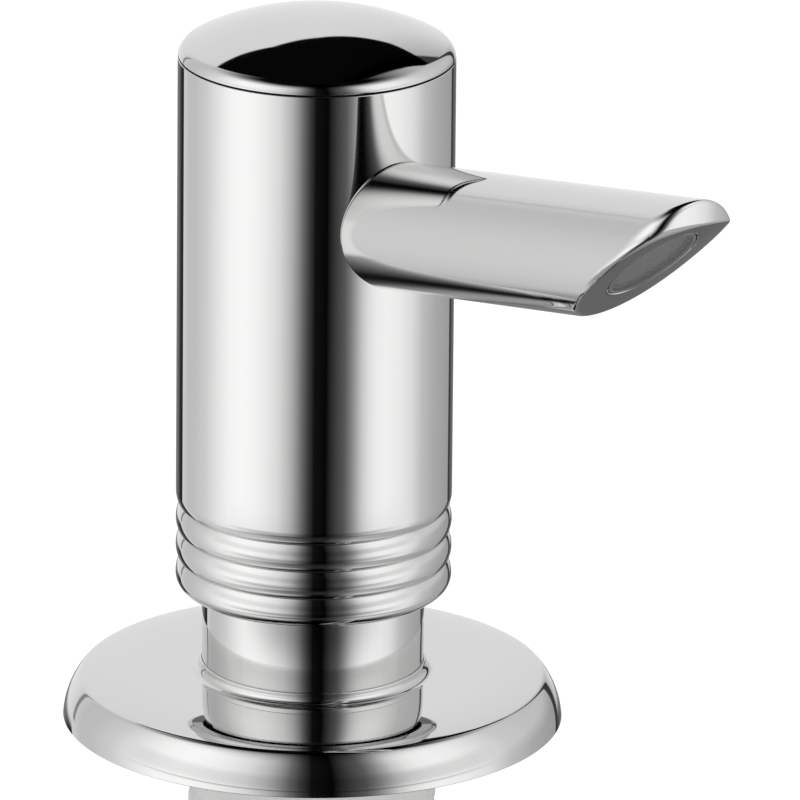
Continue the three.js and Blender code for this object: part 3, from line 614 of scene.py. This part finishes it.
def spoutRows():
    s = spout
    turn = evenTurns(s["columns"])
    out = np.outer(np.cos(turn), axisUp) + np.outer(np.sin(turn), axisSide)
    radius = s["radius"]
    rootAt = head["radius"] + s["rootGap"]

    def alongTo(x, ringRadius):
        # How far along the axis each column of a ring stands at x
        return (x + ringRadius * np.cos(turn) * math.sin(axisTurn)) / math.cos(axisTurn)

    def coped(ringRadius, headRadius):
        # Where a bar of that radius comes out of an upright cylinder
        x = np.sqrt(headRadius ** 2 - (ringRadius * np.sin(turn)) ** 2)
        return axisStart + np.outer(alongTo(x, ringRadius), axisWay) + ringRadius * out

    nose = s["noseRadius"]
    toNose = alongTo(s["reach"] - nose + np.sqrt(nose ** 2 - (radius * np.sin(turn)) ** 2), radius)
    toCut = ((cutStart - axisStart) @ cutOut - radius * (out @ cutOut)) / (axisWay @ cutOut)
    crease = axisStart + np.outer(np.minimum(toNose, toCut), axisWay) + radius * out
    rim = crease.copy()
    onCut = cutStart[2] + (crease[:, 0] - cutReach) * math.tan(cutTurn)
    rim[:, 2] = np.where(toNose < toCut, onCut, crease[:, 2])
    root = coped(radius, rootAt)
    rootEnd = root + s["rootZone"] * axisWay
    endStart = crease - s["endZone"] * axisWay

    upCut = (rim - cutStart) @ cutWay - outletCentre
    ovalTurn = np.arctan2(rim[:, 1] / outlet["halfWidth"], upCut / outletHalf)
    oval = ovalRing(ovalTurn, 0, 0)
    share = np.minimum(s["faceShare"], s["faceReach"] / np.linalg.norm(oval - rim, axis=1))
    face = rim + (oval - rim) * share[:, None]

    surface = spreadAlong([coped(radius - s["rootCover"], rootAt), root, rootEnd], s["rootRows"])
    surface += spreadAlong([rootEnd, endStart], s["barRows"])[1:]
    surface += spreadAlong([endStart, crease, rim, face], s["endRows"])[1:]
    surface += spreadAlong([face, oval], s["faceRows"])[1:-1]
    rows = [coped(s["spigot"], head["bore"] + s["spigotIn"]), coped(s["spigot"], rootAt),
            coped(radius - s["rootSink"], rootAt)]
    rows += list(settle(np.concatenate(surface)).reshape(len(surface), s["columns"], 3))

    edge = outlet["edge"]
    for bend in quarterTurns(outlet["edgeSteps"]):
        rows.append(ovalRing(ovalTurn, -edge * (1 - math.sin(bend)), edge * (1 - math.cos(bend))))
    rows.append(rows[-1] - (outlet["depth"] - edge) * cutOut)
    return rows


spoutBar = loft("spout_bar", spoutRows())
smoothOver(spoutBar, sharpDeg=179)
finishPiece(spoutBar, "spout")

# Liner: a grey oval cup in the outlet, with the soap's hole in its floor
liner = {"gap": 0.12, "depth": 2.7, "wall": 0.45, "floor": 2.1, "edge": 0.15, "fillet": 0.2, "hole": 1.5,
         "drill": 80, "columns": 96}


def makeLiner():
    outer, inner = liner["gap"], liner["gap"] + liner["wall"]
    edge, fillet, bed = liner["edge"], liner["fillet"], liner["depth"] - liner["floor"]
    profile = [(outer, liner["depth"])]
    profile += [(outer + edge - edge * math.cos(t), edge - edge * math.sin(t)) for t in quarterTurns(4)]
    profile += [(inner - edge + edge * math.sin(t), edge - edge * math.cos(t)) for t in quarterTurns(4)]
    profile += [(inner + fillet - fillet * math.cos(t), bed - fillet + fillet * math.sin(t))
                for t in quarterTurns(5)]
    turns = evenTurns(liner["columns"])
    piece = loft("outlet_cup", [ovalRing(turns, inset, sink) for inset, sink in profile])
    bpy.ops.mesh.primitive_cylinder_add(vertices=48, radius=liner["hole"] * mm, depth=liner["drill"] * mm)
    drill = bpy.context.object
    drill.data.transform(alongSpout)
    cutBy(piece, [drill])
    smoothOver(piece)
    return piece


finishPiece(makeLiner(), "outlet_liner")

# Soap tube in the spout and its seal, turned upright and laid along the spout's axis
soapTube = {"radius": 2.4, "bore": 1.6, "start": 3, "endIn": 0.3, "endGap": 0.3, "edge": 0.2,
            "boreEdge": 0.15}
tubeSeal = {"radius": 4.4, "bore": 2.7, "start": 10.8, "end": 12.5, "edge": 0.5}


def makeSoapTube():
    slant = cutTurn - axisTurn
    foot = outlet["footMargin"] + soapTube["endIn"]
    underLength = cutReach / math.cos(axisTurn) - spout["radius"] * math.tan(axisTurn)
    end = underLength + foot * math.cos(slant) - liner["depth"] * math.sin(slant) - soapTube["endGap"]
    piece = pipe("soap_pipe", soapTube["radius"], soapTube["bore"], soapTube["start"], end, soapTube["edge"],
                 soapTube["boreEdge"], columns=64)
    piece.data.transform(alongSpout)
    return piece


def makeTubeSeal():
    radius, bore, start, end, edge = tubeSeal.values()
    piece = pipe("pipe_seal", radius, bore, start, end, edge, edge, columns=64)
    piece.data.transform(alongSpout)
    return piece


finishPiece(makeSoapTube(), "soap_tube")
finishPiece(makeTubeSeal(), "tube_seal")

# Plain rings: piece, bore and the rounding of its edges; their outer size and place come from the frame
rings = {
    "guide_ring": ("guide_band", 12.1, 0.22),
    "deck_seal": ("plate_seal", 20.4, 0.4),
    "clamp_seal": ("deck_gasket", 13.8, 0.5),
    "slip_washer": ("sliding_washer", 13.8, 0.18),
    "bottle_gasket": ("mouth_gasket", 11.3, 0.3),
    "barrel_seal": ("flange_seal", 9.3, 0.2),
    "stem_retainer": ("stem_clip", 3.8, 0.2),
}

for node, (name, bore, edge) in rings.items():
    bottom, top, radius = spanOf(node)
    finishPiece(pipe(name, radius, bore, bottom, top, edge, edge, columns=128), node)

# Shank: flange, spigot and a threaded tube with a real helix
shank = {"radius": 13.5, "bore": 9.5, "flange": 17, "flangeTop": 2.5, "spigot": 10.7, "spigotTop": 12,
         "chamfer": 1, "threadTop": -7.4, "threadBottom": -50.4, "pitch": 2, "depth": 0.85, "flank": 3.2,
         "rowsPerTurn": 10}


def threaded(radius, turn, height):
    low, high, pitch = shank["threadBottom"], shank["threadTop"], shank["pitch"]
    if radius < shank["radius"] - slack or not low - slack < height < high + slack:
        return radius
    phase = (height / pitch - turn / (2 * math.pi)) % 1
    tooth = min(1, max(0, shank["flank"] * (0.5 - abs(phase - 0.5))))
    fade = min(1, (height - low) / pitch, (high - height) / pitch)
    return radius - shank["depth"] * (1 - tooth) * fade


def makeShank():
    s, bottom = shank, spanOf("threaded_shank")[0]
    radius, low, high = s["radius"], s["threadBottom"], s["threadTop"]
    rows = round((high - low) / s["pitch"] * s["rowsPerTurn"])
    outline = [(radius - s["chamfer"], bottom), (radius, bottom + s["chamfer"])]
    outline += [(radius, low + (high - low) * k / rows) for k in range(rows + 1)]
    outline += rounded([
        outline[-1], (radius, 0, 0.6), (s["flange"], 0, 0.3), (s["flange"], s["flangeTop"], 0.3),
        (s["spigot"], s["flangeTop"], 0.5), (s["spigot"], s["spigotTop"], 0.5),
        (s["bore"], s["spigotTop"], 0.5), (s["bore"], bottom, 0.4),
    ])[1:]
    piece = turned("threaded_tube", outline, columns=144)
    pullIn(piece, threaded)
    smoothOver(piece, sharpDeg=40)
    return piece


finishPiece(makeShank(), "threaded_shank")

# Fixing nut: hexagon with turned corners on a round collar
nut = {"acrossFlats": 38, "corner": 21.04, "chamfer": 1.5, "collar": 17.5, "collarHeight": 2.5, "bore": 13.8,
       "steps": 8}


def makeNut():
    bottom, top, _ = spanOf("fixing_nut")
    seat = bottom + nut["collarHeight"]
    chamfer = [nut["chamfer"] * k / nut["steps"] for k in range(nut["steps"] + 1)]
    lower = [(nut["corner"] - nut["chamfer"] + step, seat + step) for step in chamfer]
    upper = [(radius, top + seat - height) for radius, height in reversed(lower)]
    outline = rounded([(nut["bore"], bottom, 0.6), (nut["collar"], bottom, 0.4), (nut["collar"], seat)])
    outline += lower + upper + rounded([upper[-1], (nut["bore"], top, 0.6), (nut["bore"], bottom)])[1:-1]
    piece = turned("hex_nut", outline, columns=192)

    def flatted(radius, turn, height):
        offFlat = (turn + math.pi / 6) % (math.pi / 3) - math.pi / 6
        limit = nut["acrossFlats"] / 2 / math.cos(offFlat)
        return min(radius, limit) if height > seat - slack else radius

    pullIn(piece, flatted)
    smoothOver(piece, sharpDeg=20)
    return piece


finishPiece(makeNut(), "fixing_nut")

# Bottle: blown in one wall, with a grip bead round its threaded mouth and a hollow foot
bottle = {"wall": 1.4, "neck": 16.6, "neckBore": 13.8, "mouth": 11, "bead": 1.2, "beadHeight": 2.2,
          "beadSlope": 0.6, "ledgeTop": -53.8, "ledge": 1.6, "shoulder": 16, "footRound": 4, "pushUp": 2.5}


def makeBottle():
    bottom, top, radius = spanOf("bottle")
    neckRadius, mouth, foot, wall = bottle["neck"], bottle["mouth"], bottle["footRound"], bottle["wall"]
    inner, bead, beadLow = radius - wall, neckRadius + bottle["bead"], top - bottle["beadHeight"]
    ledgeTop, ledgeLow = bottle["ledgeTop"], bottle["ledgeTop"] - bottle["ledge"]
    shoulderLow = ledgeTop - bottle["shoulder"]
    hollow = bottom + bottle["pushUp"]
    outline = rounded([(0, hollow), (radius - 2 * foot, hollow, 2), (radius - foot, bottom)])[:-1]
    outline += arc((radius - foot, bottom + foot), foot, -90, 0, steps=12)
    outline += arc((neckRadius, shoulderLow), radius - neckRadius, 0, 90, steps=28, height=bottle["shoulder"])
    outline += rounded([
        (neckRadius, ledgeTop), (neckRadius, beadLow, 0.4), (bead, beadLow + bottle["beadSlope"], 0.3),
        (bead, top, 0.4), (bottle["neckBore"], top, 0.5), (bottle["neckBore"], ledgeTop, 0.3),
        (mouth, ledgeTop, 0.4), (mouth, ledgeLow),
    ])[1:-1]
    outline += arc((mouth, shoulderLow), inner - mouth, 90, 0, steps=28, height=ledgeLow - shoulderLow)
    outline += arc((inner - foot, bottom + wall + foot), foot, 0, -90, steps=12)
    outline += rounded([(inner - foot, bottom + wall), (inner - 2 * foot, hollow + wall, 2),
                        (0, hollow + wall)])[1:]
    return turned("blown_bottle", outline, columns=160, ring=False)


finishPiece(makeBottle(), "bottle")

# Pump barrel with its flange, the inlet valve's chamber and a nipple for the dip tube
barrel = {"radius": 9, "bore": 8, "flange": 12, "flangeBottom": 24.4, "floorTop": -10, "floorBottom": -12,
          "chamber": 3.2, "chamberOut": 5.5, "valveSeat": -16.8, "webBottom": -19, "hole": 1.7, "nipple": 4.2,
          "nippleBore": 3.2}


def makeBarrel():
    bottom, top, _ = spanOf("pump_barrel")
    b = barrel
    return turned("pump_cylinder", rounded([
        (b["nipple"], bottom, 0.3), (b["nipple"], b["webBottom"], 0.5),
        (b["chamberOut"], b["webBottom"] + b["chamberOut"] - b["nipple"], 0.5),
        (b["chamberOut"], b["floorBottom"], 0.6), (b["radius"], b["floorBottom"], 1),
        (b["radius"], b["flangeBottom"], 0.4), (b["flange"], b["flangeBottom"], 0.25),
        (b["flange"], top, 0.35), (b["bore"], top, 0.3), (b["bore"], b["floorTop"], 0.5),
        (b["chamber"], b["floorTop"], 0.2), (b["chamber"], b["valveSeat"], 0.6),
        (b["hole"], b["valveSeat"], 0.35), (b["hole"], b["webBottom"], 0.2),
        (b["nippleBore"], b["webBottom"], 0.2), (b["nippleBore"], bottom, 0.2),
    ]), columns=128)


finishPiece(makeBarrel(), "pump_barrel")

# Barrel cap: a disc with six finger notches and a plug that guides the stem
barrelCap = {"plug": 7.7, "hole": 3.8, "discHeight": 1.7, "notches": 6, "notchWidth": 3, "notchFloor": 10}


def notched(radius, turn, height):
    pitch = 2 * math.pi / barrelCap["notches"]
    beside = abs(radius * math.sin((turn + pitch / 2) % pitch - pitch / 2))
    return min(radius, barrelCap["notchFloor"]) if beside < barrelCap["notchWidth"] / 2 else radius


def makeBarrelCap():
    bottom, top, radius = spanOf("barrel_cap")
    disc = top - barrelCap["discHeight"]
    piece = turned("cylinder_cap", rounded([
        (barrelCap["plug"], bottom, 0.4), (barrelCap["plug"], disc, 0.25), (radius, disc, 0.25),
        (radius, top, 0.35), (barrelCap["hole"], top, 0.4), (barrelCap["hole"], bottom, 0.3),
    ]), columns=192)
    pullIn(piece, notched)
    smoothOver(piece)
    return piece


finishPiece(makeBarrelCap(), "barrel_cap")

# Inlet cage, both valve balls, piston, stem and dip tube
cage = {"edge": 0.3, "ports": 5, "port": 0.9, "portPitch": 3.2, "drill": 6}
piston = {"lip": 7.7, "waist": 6.5, "heel": 5.3, "lipHeight": 0.9, "socket": 3.8, "socketOut": 5.4,
          "floor": 3, "port": 1.3}
stem = {"bore": 1.8, "chamber": 2.6, "chamberHeight": 6.2}
dipTube = {"bore": 2.0, "slantDeg": 35}


def makeCage():
    bottom, top, radius = spanOf("ball_cage")
    piece = turned("inlet_cage", rounded([
        (0, bottom), (radius, bottom, cage["edge"]), (radius, top, cage["edge"]), (0, top),
    ]), columns=96, ring=False)
    drills = []
    reach = cage["portPitch"]
    for turn in evenTurns(cage["ports"]):
        place = (reach * math.cos(turn) * mm, reach * math.sin(turn) * mm, bottom * mm)
        bpy.ops.mesh.primitive_cylinder_add(vertices=32, radius=cage["port"] * mm, depth=cage["drill"] * mm,
                                            location=place)
        drills.append(bpy.context.object)
    cutBy(piece, drills)
    smoothOver(piece)
    return piece


def makeBall(name, node):
    bottom, top, _ = spanOf(node)
    radius = (top - bottom) / 2
    return turned(name, arc((0, bottom + radius), radius, -90, 90, steps=32), columns=64,
                  ring=False)


def makePiston():
    bottom, top, _ = spanOf("piston")
    p, lip = piston, piston["lipHeight"]
    floor = bottom + p["floor"]
    return turned("piston_cup", rounded([
        (p["heel"], bottom, 0.2), (p["lip"], bottom + lip, 0.25), (p["waist"], bottom + 2 * lip, 0.4),
        (p["waist"], top - 3 * lip, 0.8), (p["lip"], top, 0.2), (p["lip"] - lip, top, 0.2),
        (p["socketOut"], top - 3 * lip, 0.5), (p["socketOut"], top - lip, 0.2), (p["socket"], top - lip, 0.2),
        (p["socket"], floor), (p["port"], floor, 0.2), (p["port"], bottom, 0.2),
    ]), columns=96)


def makeStem():
    bottom, top, radius = spanOf("pump_stem")
    chamberTop = bottom + stem["chamberHeight"]
    return turned("stem_pipe", rounded([
        (radius, bottom, 0.3), (radius, top, 0.3), (stem["bore"], top, 0.2), (stem["bore"], chamberTop, 0.3),
        (stem["chamber"], chamberTop - stem["chamber"] + stem["bore"], 0.3), (stem["chamber"], bottom, 0.15),
    ]), columns=64)


def makeDipTube():
    bottom, top, radius = spanOf("dip_tube")
    piece = turned("suction_tube", rounded([
        (radius, bottom), (radius, top, 0.2), (dipTube["bore"], top, 0.15), (dipTube["bore"], bottom),
    ]), columns=64)
    for vertex in piece.data.vertices:
        if vertex.co.z < (bottom + slack) * mm:
            vertex.co.z += (radius * mm - vertex.co.x) * math.tan(math.radians(dipTube["slantDeg"]))
    smoothOver(piece)
    return piece


finishPiece(makeCage(), "ball_cage")
finishPiece(makeBall("lower_ball", "inlet_ball"), "inlet_ball")
finishPiece(makeBall("upper_ball", "outlet_ball"), "outlet_ball")
finishPiece(makePiston(), "piston")
finishPiece(makeStem(), "pump_stem")
finishPiece(makeDipTube(), "dip_tube")

# Return spring: a wire wound up from the barrel's floor to the piston. The real one shortens as the head goes
# down; this one is made at one length.
spring = {"radius": 6.3, "wire": 1.1, "turns": 5.5, "stepsPerTurn": 48, "wireSides": 16, "pressTravel": 7}


def makeSpring():
    bottom, top, _ = spanOf("return_spring")
    bpy.ops.mesh.primitive_circle_add(vertices=spring["wireSides"], radius=spring["wire"] / 2 * mm,
                                      location=(spring["radius"] * mm, 0, (bottom + spring["wire"] / 2) * mm),
                                      rotation=(math.pi / 2, 0, 0))
    piece = newest("coil_spring")
    bpy.ops.object.transform_apply(location=True, rotation=True)
    winding = piece.modifiers.new("winding", "SCREW")
    winding.angle = 2 * math.pi * spring["turns"]
    winding.screw_offset = (top - bottom - spring["wire"]) * mm
    winding.steps = winding.render_steps = round(spring["turns"] * spring["stepsPerTurn"])
    bpy.ops.object.modifier_apply(modifier=winding.name)
    bpy.ops.object.mode_set(mode="EDIT")
    bpy.ops.mesh.select_all(action="SELECT")
    bpy.ops.mesh.fill_holes(sides=0)
    closeUp()
    smoothOver(piece, sharpDeg=40)
    return piece


coil = finishPiece(makeSpring(), "return_spring")
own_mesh(coil)

# Studio: a wide round tent seen only in reflections. Turns are degrees round from the camera's side to its
# right, rises are degrees above the level, and tones are strengths of light. The wall's tones go down to
# lowTop and the low ones begin there. Dip and lift are shares taken from the wall or added to it, and the
# ceiling is where the wall ends and the dark begins.
tent = {"radius": 3, "centre": 0.03, "cameraTurn": shot["turn"] - 90, "gain": 1.286,
        "wall": [(-180, 0.72), (-151, 0.7), (-131, 0.54), (-119, 0.56), (-103, 0.66), (-88, 0.85),
                 (-75, 1), (-62, 1.04), (-51, 1), (-40, 0.9), (-30, 0.76), (-20, 0.5), (-10, 0.15),
                 (-5, 0.05), (0, 0.006), (10, 0.002), (15, 0.03), (25, 0.1), (30, 0.21), (35, 0.39),
                 (40, 0.62), (46, 0.81), (53, 0.93), (62, 0.97), (74, 0.92), (88, 0.79), (102, 0.55),
                 (119, 0.43), (150, 0.32), (158, 0.47), (168, 0.68), (180, 0.72)],
        "low": [(-180, 0.19), (-168, 0.17), (-159, 0.14), (-155, 0.08), (-150, 0.02), (-144, 0.02),
                (-139, 0.13), (-134, 0.27), (-127, 0.44), (-119, 0.56), (-105, 0.64), (-85, 0.62),
                (-65, 0.55), (-50, 0.46), (-40, 0.33), (-28, 0.21), (-18, 0.13), (-8, 0.05), (0, 0.02),
                (13, 0.02), (22, 0.07), (31, 0.13), (39, 0.25), (47, 0.4), (60, 0.45), (100, 0.4),
                (149, 0.3), (157, 0.08), (162, 0.12), (170, 0.16), (180, 0.19)],
        "lowTop": [(-180, -14), (-143.5, -14), (-142, -36), (149, -36), (150.5, -14), (180, -14)],
        "lowSoft": 2.5,
        "ceiling": [(-180, 43.5), (-171, 45.7), (-166, 46.6), (-156, 44), (-150, 43.2), (-145, 43.5),
                    (-143, 68), (0, 68), (148.5, 68), (150, 36.2), (163, 36.4), (172, 40), (180, 43.5)],
        "ceilingSoft": 1.2, "ceilingFade": 1.36, "fadeFrom": 46, "ceilingTone": 0.003,
        "dip": [(-180, 0), (-95, 0), (-80, 0.16), (-20, 0.16), (40, 0.24), (60, 0.24), (80, 0.16), (95, 0),
                (180, 0)],
        "dipStart": (-4, 5), "dipEnd": (13, 24),
        "lift": [(-180, 0), (90, 0), (119, 0.35), (140, 0.5), (150, 0.5), (151, 0), (180, 0)],
        "liftStart": (-8, 8),
        "slit": {"middle": 153, "half": 3, "soft": 0.6, "tone": 0.04, "foot": (-46, -44)},
        "fold": {"middle": -141, "half": 1.6, "soft": 1.2, "tone": 0.35, "foot": (-11, -9), "top": (15, 25),
                 "topShare": 0.2}}


def aroundRamp(tree, around, stops):
    tones = tree.nodes.new("ShaderNodeValToRGB")
    elements = tones.color_ramp.elements
    elements.remove(elements[-1])
    for i, (turn, tone) in enumerate(stops):
        spot = elements.new((turn + 180) / 360) if i else elements[0]
        spot.position = (turn + 180) / 360
        spot.color = (tone, tone, tone, 1)
    feed(tree, tones, {"Fac": around})
    return tones.outputs["Color"]


def softStep(tree, value, start, end, low=0, high=1):
    reach = {0: value, 1: start, 2: end, 3: low, 4: high}
    return nodeOn(tree, "MapRange", reach, interpolation_type="SMOOTHSTEP")["Result"]


def blendOn(tree, share, first, second):
    return nodeOn(tree, "Mix", {"Factor": share, "A": first, "B": second})["Result"]


def stripeOn(tree, degrees, rise, stripe):
    # 1 inside a stripe that stands on the wall from its foot upwards
    off = mathOn(tree, "ABSOLUTE", mathOn(tree, "SUBTRACT", degrees, stripe["middle"]))
    inside = softStep(tree, off, stripe["half"] - stripe["soft"], stripe["half"] + stripe["soft"], 1, 0)
    return times(tree, inside, softStep(tree, rise, *stripe["foot"]))


def fromCamera(tree, height=0):
    # Places seen from the given height above the deck's middle, with X towards the camera
    turn = math.radians(tent["cameraTurn"])
    seen = {"Vector": placeOn(tree), "Location": (0, 0, height), "Rotation": (0, 0, turn)}
    return nodeOn(tree, "Mapping", seen, vector_type="TEXTURE")["Vector"]


def hideFromAll(piece):
    piece.visible_camera = piece.visible_diffuse = piece.visible_transmission = piece.visible_shadow = False


def tentCloth():
    material, tree, out = startBare("tent_cloth")
    material.cycles.emission_sampling = "NONE"
    way = nodeOn(tree, "VectorMath", {0: fromCamera(tree, tent["centre"])}, operation="NORMALIZE")["Vector"]
    split = nodeOn(tree, "SeparateXYZ", {"Vector": way})
    degrees = mathOn(tree, "DEGREES", mathOn(tree, "ARCTAN2", split["Y"], split["X"]))
    around = mathOn(tree, "ADD", mathOn(tree, "DIVIDE", degrees, 360), 0.5)
    rise = mathOn(tree, "DEGREES", mathOn(tree, "ARCSINE", split["Z"]))

    def heightAround(stops):
        shares = aroundRamp(tree, around, [(turn, (height + 90) / 180) for turn, height in stops])
        return mathOn(tree, "SUBTRACT", times(tree, shares, 180), 90)

    overBorder = mathOn(tree, "SUBTRACT", rise, heightAround(tent["lowTop"]))
    tone = blendOn(tree, softStep(tree, overBorder, -tent["lowSoft"], tent["lowSoft"]),
                   aroundRamp(tree, around, tent["low"]), aroundRamp(tree, around, tent["wall"]))
    lift = times(tree, aroundRamp(tree, around, tent["lift"]), softStep(tree, rise, *tent["liftStart"]))
    tone = times(tree, tone, mathOn(tree, "ADD", lift, 1))
    dip = times(tree, aroundRamp(tree, around, tent["dip"]), softStep(tree, rise, *tent["dipStart"]))
    dip = times(tree, dip, softStep(tree, rise, *tent["dipEnd"], 1, 0))
    tone = times(tree, tone, mathOn(tree, "SUBTRACT", 1, dip))
    slit, fold = tent["slit"], tent["fold"]
    tone = blendOn(tree, stripeOn(tree, degrees, rise, slit), tone, slit["tone"])
    limit = heightAround(tent["ceiling"])
    fade = times(tree, mathOn(tree, "SUBTRACT", limit, tent["fadeFrom"]), tent["ceilingFade"])
    start = mathOn(tree, "SUBTRACT", limit, mathOn(tree, "MAXIMUM", fade, tent["ceilingSoft"]))
    tone = times(tree, tone, softStep(tree, rise, start, limit, 1, tent["ceilingTone"]))
    folded = times(tree, stripeOn(tree, degrees, rise, fold),
                   softStep(tree, rise, *fold["top"], 1, fold["topShare"]))
    tone = times(tree, tone, blendOn(tree, folded, 1, fold["tone"]))
    light = nodeOn(tree, "Emission", {"Strength": times(tree, tone, tent["gain"])})["Emission"]
    feed(tree, out, {"Surface": light})
    return material


def makeTent():
    bpy.ops.mesh.primitive_uv_sphere_add(segments=96, ring_count=64, radius=tent["radius"],
                                         location=(0, 0, tent["centre"]))
    dome = newest("studio_tent")
    bpy.ops.object.transform_apply(location=True)
    dome.data.materials.append(tentCloth())
    hideFromAll(dome)


# Painted shade on the deck: a grey see-through sheet in front of the plate, seen only in reflections, stands
# in for the object's own shade on the deck and dims what the skirt's crests mirror
tableShade = {"radius": 100, "height": 0.1, "clearTo": 30, "darkFrom": 50, "darkTo": 55, "tone": 0.5, "from": 10,
         "to": 50}


def tableShadeCloth():
    material, tree, out = startBare("painted_table_shade")
    size = {key: value * mm for key, value in tableShade.items()}
    towards = nodeOn(tree, "SeparateXYZ", {"Vector": fromCamera(tree)})["X"]
    distance = nodeOn(tree, "VectorMath", {0: placeOn(tree)}, operation="LENGTH")["Value"]
    dark = times(tree, softStep(tree, distance, size["clearTo"], size["darkFrom"]),
                 softStep(tree, distance, size["darkTo"], size["radius"], 1, 0))
    dark = times(tree, dark, softStep(tree, towards, size["from"], size["to"]))
    clear = nodeOn(tree, "BsdfTransparent", {"Color": blendOn(tree, dark, 1, tableShade["tone"])})["BSDF"]
    feed(tree, out, {"Surface": clear})
    return material


def makeTableShade():
    bpy.ops.mesh.primitive_circle_add(vertices=96, radius=tableShade["radius"] * mm, fill_type="NGON",
                                      location=(0, 0, tableShade["height"] * mm))
    piece = newest("table_shade_sheet")
    bpy.ops.object.transform_apply(location=True)
    piece.data.materials.append(tableShadeCloth())
    hideFromAll(piece)


# Floor and air: white to the camera, with the object's soft shadow on the floor
ground = {"height": -0.15, "size": 12, "colour": (0.8, 0.8, 0.8, 1), "roughness": 0.9, "glow": 0.3,
          "air": 0.85}
lamp = {"size": 1.2, "place": (-0.9, -1.1, 1.6), "power": 9}


def seenRays(tree):
    path = nodeOn(tree, "LightPath", {})
    seen = mathOn(tree, "MAXIMUM", path["Is Camera Ray"], path["Is Transmission Ray"])
    return mathOn(tree, "MAXIMUM", seen, path["Is Glossy Ray"])


def makeFloor():
    bpy.ops.mesh.primitive_plane_add(size=ground["size"], location=(0, 0, ground["height"]))
    floor = newest("floor")
    material, tree, shader = startMaterial("pale_floor")
    feed(tree, shader, {"Base Color": ground["colour"], "Roughness": ground["roughness"],
                        "Specular IOR Level": 0})
    glow = nodeOn(tree, "Emission", {"Strength": times(tree, seenRays(tree), ground["glow"])})["Emission"]
    both = nodeOn(tree, "AddShader", {0: shader.outputs["BSDF"], 1: glow})["Shader"]
    feed(tree, tree.nodes["Material Output"], {"Surface": both})
    floor.data.materials.append(material)
    floor.visible_glossy = False


def makeWorld():
    world = bpy.data.worlds.new("studio_air")
    scene.world = world
    world.use_nodes = True
    tree = world.node_tree
    strength = blendOn(tree, seenRays(tree), ground["air"], 1)
    feed(tree, tree.nodes["Background"], {"Color": (1, 1, 1, 1), "Strength": strength})


def makeLamp():
    bpy.ops.object.light_add(type="AREA", location=lamp["place"])
    light = bpy.context.object
    light.data.size = lamp["size"]
    light.data.energy = lamp["power"]
    light.rotation_euler = (-Vector(lamp["place"])).to_track_quat("-Z", "Y").to_euler()
    light.visible_glossy = False


makeWorld()
makeTent()
makeTableShade()
makeFloor()
makeLamp()
bpy.ops.object.select_all(action="DESELECT")
print("studio made")

# CAD nodes that stay get their finish
for node, piece in frame["nodes"].items():
    if not piece.hide_render:
        for spot in piece.material_slots:
            spot.material = finishes[slots[node]]
        print("kept from the frame:", node)
